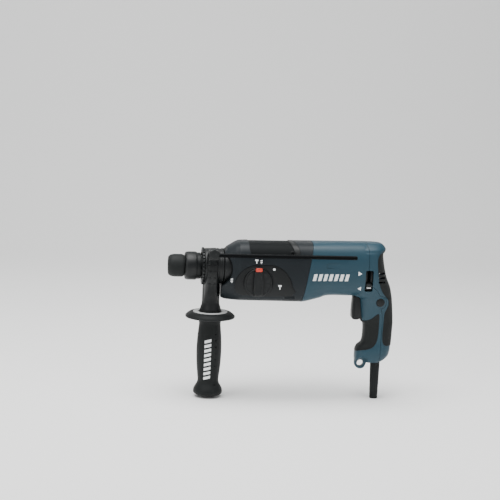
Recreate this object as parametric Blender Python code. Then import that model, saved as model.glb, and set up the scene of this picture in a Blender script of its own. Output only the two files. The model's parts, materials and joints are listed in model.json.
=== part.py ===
"""Corded rotary hammer with a pistol grip, a side handle and a depth rod.

Sizes are in millimetres and become metres where a mesh is made. Positions are in the tool's
own coordinates: x runs back from the front of the chuck, z up from the spindle axis, and the
dial is on the -y side. One empty holds every piece, and puts the middle of the pistol grip
at the world's origin.
"""
import bmesh
import bpy
from math import cos, pi, radians, sin
from mathutils import Matrix, Vector

MM = 0.001
GAP = 0.3                                  # clearance between pieces that touch

# The grip, which is where a hand holds the tool up
GRIP_X = 346.0
GRIP_Z = -102.0

# Chuck, along the spindle axis
BIT_BORE_R = 5.2
HOLDER_START = 1.6
CAP_END = 26.0
SLEEVE_START = 27.0
SLEEVE_END = 52.0
SLEEVE_R = 23.0
BARREL_START = 54.0
BARREL_R = 26.0
BARREL_COLLAR_R = 30.0
CLAMP_BORE_R = 26.5
BARREL_END = 104.0
CYLINDER_R = 10.0
HOLDER_END = 164.0

# Gear train: spindle gear, camshaft and motor pinion on parallel axes
SPINDLE_MODULE = 0.8
SPINDLE_TEETH = 51
CAM_TEETH = 10
MOTOR_MODULE = 1.0
CAM_GEAR_TEETH = 26
MOTOR_TEETH = 6
CAM_Z = -(SPINDLE_TEETH + CAM_TEETH) * SPINDLE_MODULE / 2
MOTOR_Z = CAM_Z + (CAM_GEAR_TEETH + MOTOR_TEETH) * MOTOR_MODULE / 2
SPINDLE_GEAR_X = (120.0, 130.0)
CAM_GEAR_X = (196.0, 204.0)
SWASH_X = 174.0

# Casing walls
WALL = 2.6
GRIP_WALL = 6.0
RUBBER = 3.0
SEAM_TOP = (233.0, 46.0)                   # gear housing against motor housing
SEAM_BOTTOM = (215.6, -56.0)

# Side handle and depth rod
CLAMP_X = (60.5, 89.0)
NECK_X = 71.0
FLANGE_R = 40.5
HANDLE_Z = 4.0                             # the side handle's profile heights count from here
POMMEL_Z = -217.0
ROD_Y = -50.0
ROD_Z = 25.0
ROD_R = 3.2
ROD_X = (60.0, 300.0)

# Controls
DIAL_X = 143.0
DIAL_Z = -20.0
DIAL_R = 23.0
BAR_TOP = 18.4                             # end of the raised bar, where the button sits
BAR_FACE_Y = -47.0
BUTTON_TOP = 24.6
LOCK_X = 346.6
LOCK_Z = -51.6
LOCK_R = 6.9
SLOT_X = (318.5, 331.5)
SLOT_Z = (-33.0, 2.0)
GUARD_X = 347.0
GUARD_END = -216.0

FINISHES = {                               # colour, roughness, metallic
    "teal_abs": ((0.036, 0.104, 0.150), 0.42, 0.0),
    "grey_nylon": ((0.048, 0.055, 0.066), 0.50, 0.0),
    "black_nylon": ((0.015, 0.017, 0.018), 0.48, 0.0),
    "black_rubber": ((0.017, 0.019, 0.020), 0.75, 0.0),
    "red_abs": ((0.62, 0.06, 0.04), 0.35, 0.0),
    "pale_nylon": ((0.56, 0.57, 0.57), 0.45, 0.0),
    "turned_steel": ((0.42, 0.42, 0.43), 0.32, 1.0),
    "cast_aluminium": ((0.55, 0.56, 0.57), 0.45, 1.0),
    "core_steel": ((0.20, 0.20, 0.21), 0.45, 1.0),
    "copper": ((0.72, 0.34, 0.18), 0.35, 1.0),
    "carbon": ((0.03, 0.03, 0.03), 0.60, 0.0),
}


# ---------------------------------------------------------------- helpers

def clear_scene():
    for item in list(bpy.data.objects):
        bpy.data.objects.remove(item, do_unlink=True)


def finish_material(name):
    found = bpy.data.materials.get(name)
    if found:
        return found
    colour, rough, metal = FINISHES[name]
    made = bpy.data.materials.new(name)
    made.use_nodes = True
    shader = made.node_tree.nodes["Principled BSDF"]
    shader.inputs["Base Color"].default_value = (*colour, 1.0)
    shader.inputs["Roughness"].default_value = rough
    shader.inputs["Metallic"].default_value = metal
    made.diffuse_color = (*colour, 1.0)
    return made


def place(name, shape, finish=None, pivot=(0.0, 0.0, 0.0)):
    """Turn a bmesh in millimetres into an object whose origin is at the pivot."""
    bmesh.ops.recalc_face_normals(shape, faces=shape.faces)
    shift = Matrix.Translation(-Vector(pivot))
    bmesh.ops.transform(shape, matrix=Matrix.Scale(MM, 4) @ shift, verts=shape.verts)
    mesh = bpy.data.meshes.new(name)
    shape.to_mesh(mesh)
    shape.free()
    mesh.shade_smooth()
    mesh.set_sharp_from_angle(angle=radians(35))
    thing = bpy.data.objects.new(name, mesh)
    bpy.context.collection.objects.link(thing)
    thing.parent = TOOL
    thing.location = Vector(pivot) * MM
    if finish:
        mesh.materials.append(finish_material(finish))
    else:
        thing.hide_render = True
        thing.display_type = "WIRE"
    return thing


def apply_boolean(target, cutter, operation="DIFFERENCE"):
    step = target.modifiers.new(f"{operation.lower()}_{cutter.name}", "BOOLEAN")
    step.operation = operation
    step.solver = "EXACT"
    step.object = cutter
    return target


def axis_turn(axis):
    """Rotation that lays the local x axis along the named axis."""
    turns = {
        "x": Matrix.Identity(4),
        "y": Matrix.Rotation(pi / 2, 4, "Z"),
        "z": Matrix.Rotation(-pi / 2, 4, "Y"),
    }
    return turns[axis]


def turned(profile, at=(0.0, 0.0, 0.0), axis="x", sides=20, closed=False, start=0.0):
    """Solid of revolution. The profile is (along, radius) points; closed makes a tube."""
    shape = bmesh.new()
    rings = []
    for along, radius in profile:
        if radius <= 1e-6:
            rings.append([shape.verts.new((along, 0.0, 0.0))])
            continue
        ring = []
        for step in range(sides):
            turn = start + 2 * pi * step / sides
            ring.append(shape.verts.new((along, radius * cos(turn), radius * sin(turn))))
        rings.append(ring)
    pairs = list(zip(rings, rings[1:]))
    if closed:
        pairs.append((rings[-1], rings[0]))
    for first, second in pairs:
        for step in range(sides):
            after = (step + 1) % sides
            corners = [first[step % len(first)], first[after % len(first)],
                       second[after % len(second)], second[step % len(second)]]
            shape.faces.new(list(dict.fromkeys(corners)))
    move = Matrix.Translation(Vector(at)) @ axis_turn(axis)
    bmesh.ops.transform(shape, matrix=move, verts=shape.verts)
    return shape


def disc(low, high, radius, at=(0.0, 0.0, 0.0), axis="x", sides=20, start=0.0):
    return turned([(low, 0.0), (low, radius), (high, radius), (high, 0.0)], at, axis, sides, start=start)


def tube(low, high, outer, inner, at=(0.0, 0.0, 0.0), axis="x", sides=20):
    return turned([(low, outer), (high, outer), (high, inner), (low, inner)], at, axis, sides, closed=True)


def prism(outline, low, high, axis="y"):
    """Straight extrusion of an outline. Along y it holds (x, z) points, along x (y, z), along z (x, y)."""
    shape = bmesh.new()
    order = {"y": lambda a, b, d: (a, d, b), "x": lambda a, b, d: (d, a, b), "z": lambda a, b, d: (a, b, d)}
    near = [shape.verts.new(order[axis](a, b, low)) for a, b in outline]
    far = [shape.verts.new(order[axis](a, b, high)) for a, b in outline]
    shape.faces.new(near)
    shape.faces.new(list(reversed(far)))
    count = len(outline)
    for step in range(count):
        after = (step + 1) % count
        shape.faces.new([near[step], far[step], far[after], near[after]])
    return shape


def box(low, high):
    outline = [(low[0], low[2]), (high[0], low[2]), (high[0], high[2]), (low[0], high[2])]
    return prism(outline, low[1], high[1])


def arc(centre, radius, first, last, steps):
    """Points along an arc, from one angle in degrees to another."""
    points = []
    for step in range(steps + 1):
        turn = radians(first + (last - first) * step / steps)
        points.append((centre[0] + radius * cos(turn), centre[1] + radius * sin(turn)))
    return points


def grown(outline, amount):
    """The outline moved outward by an amount, corner by corner."""
    count = len(outline)
    area = sum(outline[i][0] * outline[(i + 1) % count][1] - outline[(i + 1) % count][0] * outline[i][1]
               for i in range(count))
    side = 1.0 if area > 0 else -1.0
    moved = []
    for step in range(count):
        here = Vector(outline[step])
        before = (here - Vector(outline[step - 1])).normalized()
        after = (Vector(outline[(step + 1) % count]) - here).normalized()
        normal = Vector((before.y + after.y, -before.x - after.x)) * side
        normal.normalize()
        lean = max(0.5, normal.dot(Vector((before.y, -before.x)) * side))
        moved.append(tuple(here + normal * amount / lean))
    return moved


def loft(sections, points=16):
    """Skin over super-ellipse sections: (centre, half_a, half_b, exponent, frame function)."""
    shape = bmesh.new()
    rings = []
    for centre, half_a, half_b, power, frame in sections:
        ring = []
        for step in range(points):
            turn = 2 * pi * (step + 0.5) / points
            across = abs(cos(turn)) ** (2 / power) * half_a * (1 if cos(turn) > 0 else -1)
            upward = abs(sin(turn)) ** (2 / power) * half_b * (1 if sin(turn) > 0 else -1)
            ring.append(shape.verts.new(frame(centre, across, upward)))
        rings.append(ring)
    for first, second in zip(rings, rings[1:]):
        for step in range(points):
            after = (step + 1) % points
            shape.faces.new([first[step], first[after], second[after], second[step]])
    shape.faces.new(rings[0])
    shape.faces.new(list(reversed(rings[-1])))
    bmesh.ops.triangulate(shape, faces=shape.faces)
    return shape


def casing_loft(rows, inset=0.0, points=16):
    """Casing along x from rows of (x, z low, z high, half width, exponent)."""
    def frame(centre, across, upward):
        return (centre[0], across, centre[1] + upward)
    sections = [((x, (low + high) / 2), half - inset, (high - low) / 2 - inset, power, frame)
                for x, low, high, half, power in rows]
    return loft(sections, points)


def grip_loft(rows, inset=0.0, points=16):
    """Casing along z from rows of (z, x front, x back, half width)."""
    def frame(centre, across, upward):
        return (centre[1] + across, upward, centre[0])
    sections = []
    last = len(rows) - 1
    for place_in_list, (z, front, back, half) in enumerate(rows):
        level = z
        if place_in_list == 0:
            level = z - inset
        if place_in_list == last:
            level = z + inset
        sections.append(((level, (front + back) / 2), (back - front) / 2 - inset, half - inset, 2.8, frame))
    return loft(sections, points)


def gear_outline(teeth, module, phase=0.0):
    """Straight-sided teeth, thin enough to run free in their mate."""
    pitch_r = teeth * module / 2
    tip = pitch_r + 0.62 * module
    root = pitch_r - 1.15 * module
    step = 2 * pi / teeth
    points = []
    for tooth in range(teeth):
        middle = phase + tooth * step
        for radius, offset in ((root, -0.30), (tip, -0.11), (tip, 0.11), (root, 0.30)):
            turn = middle + offset * step
            points.append((radius * cos(turn), radius * sin(turn)))
    return points


def gear(teeth, module, low, high, centre_z=0.0, phase=0.0):
    outline = [(y, z + centre_z) for y, z in gear_outline(teeth, module, phase)]
    return prism(outline, low, high, axis="x")


# ---------------------------------------------------------------- casing forms

MOTOR_ROWS = [                             # x, z low, z high, half width, exponent
    (200.0, -55.5, 43.6, 38.8, 3.4),
    (221.0, -53.6, 43.8, 38.8, 3.4),
    (245.0, -47.8, 44.2, 36.8, 3.2),
    (262.0, -43.0, 44.5, 35.4, 3.1),
    (304.0, -43.0, 44.8, 34.0, 3.1),
    (318.0, -41.0, 44.6, 33.6, 3.0),
    (324.0, -36.0, 43.0, 32.0, 2.8),
]
MOTOR_HOLLOW_ROWS = [                      # the same form where the walls are thin, less detailed
    (200.0, -55.5, 43.6, 38.8, 3.4),
    (221.0, -53.6, 43.8, 38.6, 3.4),
    (262.0, -42.6, 44.3, 35.0, 3.1),
    (319.0, -41.6, 44.6, 33.6, 3.1),
]
GRIP_ROWS = [                              # z, x front, x back, half width
    (44.6, 300.0, 334.0, 10.0),
    (43.4, 297.0, 347.6, 16.5),
    (36.0, 295.0, 354.4, 26.8),
    (31.0, 295.0, 352.6, 29.5),
    (24.0, 295.0, 350.0, 31.6),
    (-7.0, 295.0, 356.0, 32.4),
    (-27.0, 296.0, 364.0, 29.5),
    (-42.0, 304.0, 367.6, 26.0),
    (-47.0, 314.0, 368.4, 25.0),
    (-64.0, 316.4, 370.4, 21.4),
    (-84.0, 319.0, 372.0, 18.9),
    (-92.0, 323.8, 372.0, 18.4),
    (-118.0, 323.0, 371.0, 18.4),
    (-127.0, 315.0, 370.2, 19.2),
    (-134.0, 312.2, 369.4, 19.8),
    (-142.0, 311.6, 367.2, 19.8),
    (-149.0, 311.8, 361.0, 18.8),
    (-153.5, 314.0, 354.0, 16.0),
]
GRIP_HOLLOW_ROWS = [
    (44.6, 302.0, 346.0, 22.0),
    (20.0, 302.0, 349.0, 30.0),
    (-27.0, 302.0, 362.0, 28.0),
    (-47.0, 314.0, 367.6, 24.0),
    (-84.0, 320.0, 371.6, 18.9),
    (-118.0, 324.0, 371.0, 18.4),
    (-153.5, 318.0, 364.0, 18.4),
]
GEAR_ROWS = [                              # x, z low, z high, half width, exponent
    (86.4, -50.5, 27.0, 31.5, 2.2),
    (92.0, -52.4, 31.2, 33.0, 2.4),
    (101.0, -53.0, 36.4, 35.2, 2.8),
    (110.0, -53.2, 41.0, 36.8, 3.2),
    (122.0, -53.4, 43.0, 38.0, 3.4),
    (180.0, -53.6, 43.4, 38.6, 3.5),
    (245.0, -54.0, 43.8, 38.8, 3.5),
]
GEAR_HOLLOW_ROWS = [
    (106.0, -50.0, 36.6, 33.8, 3.2),
    (118.0, -50.6, 39.6, 34.8, 3.4),
    (188.0, -50.8, 40.0, 35.2, 3.5),
    (190.0, -42.0, 31.0, 29.0, 3.0),
    (250.0, -42.0, 31.0, 29.0, 3.0),
]

# Regions in side view, as (x, z) points
GEAR_REGION = [(70.0, 60.0), (SEAM_TOP[0] - GAP / 2, 60.0), (SEAM_TOP[0] - GAP / 2, SEAM_TOP[1]),
               (SEAM_BOTTOM[0] - GAP / 2, SEAM_BOTTOM[1]), (SEAM_BOTTOM[0] - GAP / 2, -70.0), (70.0, -70.0)]
BARREL_CUT = ([(60.0, 70.0), (94.0, 70.0), (94.0, 30.0)]
              + arc((70.0, 0.0), 32.0, 52.0, -58.0, 8) + [(82.0, -32.0), (60.0, -33.0)])
SEAM_LINE = ([(320.0, 60.0), (320.0, 44.0), (323.5, 36.0), (324.0, 0.0), (325.5, -22.0), (331.5, -25.0),
              (339.5, -31.0), (345.6, -40.0)]
             + arc((LOCK_X, LOCK_Z), 10.6, 95.0, -80.0, 7)
             + [(351.4, -72.0), (352.2, -92.0), (351.2, -130.0), (350.6, -170.0)])
HOUSING_REGION = SEAM_LINE + [(290.0, -190.0), (290.0, -70.0), (SEAM_BOTTOM[0], -70.0), SEAM_BOTTOM,
                              SEAM_TOP,
                              (SEAM_TOP[0], 60.0)]
COVER_REGION = grown(SEAM_LINE + [(390.0, -170.0), (390.0, 60.0)], -GAP)
REAR_RUBBER = [(351.5, 31.5), (343.0, 29.0), (338.4, 22.0), (339.0, 6.0), (341.6, -14.0), (346.2, -29.0),
               (352.6, -39.0), (360.8, -50.0), (360.4, -60.0), (355.0, -70.0), (354.8, -86.0), 
               (353.6, -112.0),
               (355.6, -121.5), (360.0, -124.0), (390.0, -124.6), (390.0, 31.5)]
FRONT_RUBBER = [(300.0, -84.0), (320.0, -84.0), (332.0, -81.0), (339.4, -77.0), (345.6, -70.5),
                (346.8, -88.0), (345.8, -112.0), (342.2, -123.0), (334.4, -129.6), (320.4, -132.0), (300.0, -132.6)]
TOP_PANEL = [(129.0, 60.0), (128.0, 34.0), (131.0, 24.0), (204.0, 21.6), (209.4, 24.0), (210.4, 30.0),
             (207.6, 37.0), (200.0, 47.0), (200.0, 60.0)]
DIAL_PANEL = ([(198.6, -40.8), (118.0, -40.8), (106.6, -31.0)]
              + arc((143.0, -30.0), 38.4, 165.0, 100.0, 6)
              + arc((159.0, -31.0), 40.0, 82.0, 8.0, 7))


def casing_form(name, inset, grip_inset, rows=MOTOR_ROWS, grip_rows=GRIP_ROWS):
    """Outer form of motor housing and pistol grip, or a smaller copy that hollows them."""
    body = place(name, casing_loft(rows, inset))
    grip = place(name + "_grip", grip_loft(grip_rows, grip_inset))
    return apply_boolean(body, grip, "UNION")


def add_motor_casing():
    outer = casing_form("form_outer", 0.0, 0.0)
    core = casing_form("form_core", RUBBER, RUBBER)
    seat = casing_form("form_seat", RUBBER + GAP, RUBBER + GAP)
    hollow = casing_form("form_hollow", WALL, GRIP_WALL, MOTOR_HOLLOW_ROWS, GRIP_HOLLOW_ROWS)

    tab_outline = ([(312.0, -148.0), (312.0, -156.0)] + arc((321.6, -156.4), 9.6, 180.0, 322.0, 9)
                   + [(333.0, -153.0), (334.0, -148.0)])
    tab = place("form_tab", prism(tab_outline, -4.5, 4.5))
    tab_hole = place("form_tab_hole", disc(-20.0, 20.0, 5.0, (321.4, 0.0, -156.2), "y", 20))
    guard_room = [(-175.0, 0.0), (-175.0, 7.9 + GAP), (-148.5, 7.9 + GAP), (-148.5, 10.5), (-140.0, 10.5),
                  (-140.0, 0.0)]
    guard_room = place("form_guard_room", turned(guard_room, (GUARD_X, 0.0, 0.0), "z", 20, start=0.11))
    trigger_room = place("form_trigger_room", box((296.0, -9.3, -84.0), (345.0, 9.3, -43.0)))
    lock_room = place("form_lock_room", disc(-50.0, -10.0, LOCK_R + GAP, (LOCK_X, 0.0, LOCK_Z), "y", 24))
    lever_room = place("form_lever_room", box((SLOT_X[0], -50.0, SLOT_Z[0]), (SLOT_X[1], -15.0, SLOT_Z[1])))
    front_seat = place("form_front_seat", prism(grown(FRONT_RUBBER, GAP), -60.0, 60.0))
    rear_seat = place("form_rear_seat", prism(grown(REAR_RUBBER, GAP), -60.0, 60.0))
    apply_boolean(front_seat, seat)
    apply_boolean(rear_seat, seat)

    housing = place("motor_housing", prism(HOUSING_REGION, -60.0, 60.0), "teal_abs")
    apply_boolean(housing, outer, "INTERSECT")
    apply_boolean(housing, tab, "UNION")
    for cutter in (hollow, tab_hole, guard_room, trigger_room, lock_room, lever_room, front_seat,
                   rear_seat):
        apply_boolean(housing, cutter)

    cover = place("handle_cover", prism(COVER_REGION, -60.0, 60.0), "teal_abs")
    apply_boolean(cover, outer, "INTERSECT")
    for cutter in (hollow, guard_room, lever_room, rear_seat):
        apply_boolean(cover, cutter)
    for step in range(3):
        low = -19.0 + 7.0 * step
        vent = place(f"form_vent_{step}", box((345.0, -60.0, low), (353.0, 60.0, low + 2.6)))
        apply_boolean(cover, vent)

    for name, region in (("rear_grip_rubber", REAR_RUBBER), ("front_grip_rubber", FRONT_RUBBER)):
        rubber = place(name, prism(region, -60.0, 60.0), "black_rubber")
        apply_boolean(rubber, outer, "INTERSECT")
        apply_boolean(rubber, core)
        if name == "front_grip_rubber":
            apply_boolean(rubber, trigger_room)
            continue
        for step in range(3):
            apply_boolean(rubber, bpy.data.objects[f"form_vent_{step}"])
    return housing, cover


def add_gear_casing():
    outer = place("form_gear_outer", casing_loft(GEAR_ROWS))
    skin = place("form_gear_skin", casing_loft(GEAR_ROWS, 1.0))
    skin_seat = place("form_gear_seat", casing_loft(GEAR_ROWS, 2.9))
    skin_floor = place("form_gear_floor", casing_loft(GEAR_ROWS, 2.9 - GAP))
    hollow = place("form_gear_hollow", casing_loft(GEAR_HOLLOW_ROWS))
    front = place("form_barrel_cut", prism(BARREL_CUT, -60.0, 60.0))
    bore = place("form_barrel_bore", disc(60.0, BARREL_END + GAP, BARREL_COLLAR_R + GAP, sides=24))
    passage = place("form_spindle_passage", disc(90.0, 120.0, 24.0, sides=20))
    panel_seat = place("form_panel_seat", prism(grown(DIAL_PANEL, GAP), -60.0, -35.7))
    stem_hole = place("form_stem_hole", disc(-60.0, -25.0, 9.0, (DIAL_X, 0.0, DIAL_Z), "y", 24))
    top_seat = place("form_top_seat", prism(grown(TOP_PANEL, GAP), -60.0, 60.0))
    apply_boolean(top_seat, skin_seat)

    housing = place("gear_housing", prism(GEAR_REGION, -60.0, 60.0), "grey_nylon")
    apply_boolean(housing, outer, "INTERSECT")
    for cutter in (hollow, front, bore, passage, top_seat, panel_seat, stem_hole):
        apply_boolean(housing, cutter)

    top = place("top_cover", prism(TOP_PANEL, -60.0, 60.0), "black_nylon")
    apply_boolean(top, skin, "INTERSECT")
    apply_boolean(top, skin_floor)

    panel = place("dial_panel", prism(DIAL_PANEL, -37.4, -35.7 - GAP), "black_nylon")
    apply_boolean(panel, stem_hole)
    for number, (side, height) in enumerate(((-1, 33.0), (1, 33.0), (-1, -46.6), (1, -46.6)), start=1):
        seat = place(f"form_screw_seat_{number}",
                     disc(180.0, 216.0, 1.9 + GAP, (0.0, side * 24.0, height), sides=12))
        mouth = place(f"form_screw_mouth_{number}",
                      disc(186.0, 206.3, 3.6 + GAP, (0.0, side * 24.0, height), sides=16))
        screw = turned([(203.3, 0.0), (203.3, 3.3), (206.0, 3.3), (206.0, 1.9), (215.6, 1.9), (215.6, 0.0)],
                       (0.0, side * 24.0, height), sides=12)
        place(f"housing_screw_{number}", screw, "turned_steel")
        for cutter in (seat, mouth):
            apply_boolean(housing, cutter)
    return housing


# ---------------------------------------------------------------- chuck and spindle

def add_chuck():
    cap = [(0.0, 14.6), (1.2, 16.4), (4.0, 18.0), (9.0, 18.5), (22.0, 18.5), (24.0, 18.0), (CAP_END, 17.2),
           (CAP_END, 12.0), (18.0, 12.0), (18.0, 9.0), (3.0, 9.0), (1.2, 11.6)]
    place("tip_cap", turned(cap, closed=True, sides=24), "black_rubber")
    place("front_washer", tube(18.5, 20.5, 11.6, 8.9, sides=20), "turned_steel")
    sleeve = [(SLEEVE_START, 20.6), (SLEEVE_START + 1.6, 22.2), (SLEEVE_START + 5.0, SLEEVE_R),
              (44.0, SLEEVE_R), (45.6, 22.0), (46.6, 21.4), (SLEEVE_END, 21.4), (SLEEVE_END, 18.0),
              (40.0, 18.0), (40.0, 14.0), (SLEEVE_START, 14.0)]
    place("chuck_sleeve", turned(sleeve, closed=True, sides=24), "black_nylon")
    holder = [(HOLDER_START, 7.2), (HOLDER_START + 1.0, 8.4), (26.0, 8.4), (26.0, 11.2), (52.0, 11.2),
              (52.0, 14.7), (112.0, 14.7), (112.0, 13.5), (HOLDER_END, 13.5), (HOLDER_END, CYLINDER_R),
              (98.0, CYLINDER_R), (98.0, 6.3), (70.0, 6.3), (70.0, BIT_BORE_R), (HOLDER_START, BIT_BORE_R)]
    holder = place("tool_holder", turned(holder, closed=True, sides=20), "turned_steel")
    for number, side in ((1, 1), (2, -1)):
        window = place(f"form_ball_window_{number}",
                       box((33.0, -3.7, side * 9.0 - 6.0), (44.0, 3.7, side * 9.0 + 6.0)))
        apply_boolean(holder, window)
        ball = bmesh.new()
        bmesh.ops.create_icosphere(ball, subdivisions=2, radius=3.3)
        bmesh.ops.translate(ball, vec=(38.5, 0.0, side * 7.9), verts=ball.verts)
        place(f"lock_ball_{number}", ball, "turned_steel")
    place("ball_retaining_ring", tube(31.0, 45.4, 13.6, 11.6, sides=24), "turned_steel")

    barrel = [(BARREL_START, BARREL_R - 0.8), (BARREL_START + 0.8, BARREL_R), (CLAMP_X[1] + 0.6, BARREL_R),
              (CLAMP_X[1] + 0.6, 29.2), (CLAMP_X[1] + 1.6, BARREL_COLLAR_R), (BARREL_END, BARREL_COLLAR_R),
              (BARREL_END, 21.3), (60.0, 21.3), (60.0, 22.3), (BARREL_START, 22.3)]
    place("barrel", turned(barrel, closed=True, sides=20), "black_nylon")
    place("oil_seal", tube(60.4, 63.6, 21.0, 15.0, sides=20), "black_rubber")
    place("spindle_bearing", tube(64.0, 75.0, 21.0, 15.0, sides=20), "turned_steel")


def add_hammer_train():
    spindle_gear = place("spindle_gear",
                         gear(SPINDLE_TEETH, SPINDLE_MODULE, *SPINDLE_GEAR_X, 0.0, -pi / 2), "core_steel")
    apply_boolean(spindle_gear, place("form_gear_bore", disc(110.0, 140.0, 13.8, sides=20)))
    bolt = [(66.0, 0.0), (66.0, 4.0), (67.0, 4.8), (78.0, 4.8), (79.0, 6.0), (97.5, 6.0), (97.5, 0.0)]
    place("impact_bolt", turned(bolt, sides=20), "turned_steel")
    striker = [(99.0, 0.0), (99.0, 6.0), (104.0, 6.0), (105.0, 9.7), (112.0, 9.7), (112.0, 8.9),
               (115.0, 8.9),
               (115.0, 9.7), (127.0, 9.7), (127.0, 0.0)]
    place("striker", turned(striker, sides=20), "turned_steel")
    place("striker_o_ring", tube(112.3, 114.7, 9.6, 9.2, sides=20), "black_rubber")
    piston = place("piston", disc(146.0, 168.0, 9.7, sides=20), "cast_aluminium")
    block = place("form_piston_block", box((166.0, -6.9, -6.0), (182.0, 6.9, 6.7)))
    socket = place("form_piston_socket", disc(-20.0, 5.4, 5.0, (SWASH_X, 0.0, 0.0), "z", 20))
    apply_boolean(piston, block, "UNION")
    apply_boolean(piston, socket)

    ring = tube(-5.0, 5.0, 13.0, 9.5, (SWASH_X, 0.0, CAM_Z), sides=24)
    swash = place("swash_arm", ring, "turned_steel", (SWASH_X, 0.0, CAM_Z))
    ball = [(11.0, 0.0), (11.0, 2.6)] + [(-CAM_Z - 4.6 * cos(radians(turn)), 4.6 * sin(radians(turn)))
                                         for turn in range(36, 180, 18)] + [(-CAM_Z + 4.6, 0.0)]
    stem = place("form_swash_stem", turned(ball, (SWASH_X, 0.0, CAM_Z), "z", 16))
    apply_boolean(swash, stem, "UNION")

    shaft = [(108.0, 0.0), (108.0, 3.4), (SWASH_X - 9.4, 3.4), (SWASH_X - 9.0, 4.0), (SWASH_X - 8.0, 4.1)]
    shaft += [(SWASH_X - 9.0 * cos(radians(turn)), 9.0 * sin(radians(turn))) for turn in range(30, 151, 30)]
    shaft += [(SWASH_X + 8.0, 4.1), (209.4, 4.0), (209.4, 0.0)]
    camshaft = place("camshaft", turned(shaft, (0.0, 0.0, CAM_Z), sides=16), "turned_steel",
                     (SWASH_X, 0.0, CAM_Z))
    pinion = place("form_cam_pinion",
                   gear(CAM_TEETH, SPINDLE_MODULE, 118.0, 132.0, CAM_Z, pi / 2 + pi / CAM_TEETH))
    apply_boolean(camshaft, pinion, "UNION")
    cam_gear = place("camshaft_gear", gear(CAM_GEAR_TEETH, MOTOR_MODULE, *CAM_GEAR_X, CAM_Z, pi / 2),
                     "core_steel",
                     (200.0, 0.0, CAM_Z))
    apply_boolean(cam_gear,
                  place("form_cam_gear_bore", disc(190.0, 210.0, 4.3, (0.0, 0.0, CAM_Z), sides=20)))

    support = place("spindle_support",
                    prism(arc((0.0, -6.0), 31.0, 0.0, 345.0, 23), 107.6, 115.0, axis="x"),
                    "cast_aluminium")
    apply_boolean(support, place("form_support_bore", disc(100.0, 118.0, 15.0, sides=20)))
    apply_boolean(support,
                  place("form_cam_bearing_bore", disc(100.0, 118.0, 6.3, (0.0, 0.0, CAM_Z), sides=20)))
    place("camshaft_front_bearing", tube(108.2, 113.6, 6.0, 3.7, (0.0, 0.0, CAM_Z), sides=16),
          "turned_steel")
    plate = place("inner_housing", prism(arc((0.0, -8.0), 28.0, 0.0, 345.0, 23), 205.4, 217.6, axis="x"),
                  "cast_aluminium")
    for name, low, high, radius, height in (("form_plate_bearing", 211.4, 230.0, 9.8, MOTOR_Z),
                                            ("form_plate_passage", 200.0, 230.0, 4.9, MOTOR_Z),
                                            ("form_plate_cam", 200.0, 210.4, 6.3, CAM_Z)):
        apply_boolean(plate, place(name, disc(low, high, radius, (0.0, 0.0, height), sides=20)))
    place("camshaft_rear_bearing", tube(205.8, 209.8, 6.0, 4.3, (0.0, 0.0, CAM_Z), sides=16),
          "turned_steel")


# ---------------------------------------------------------------- motor

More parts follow.
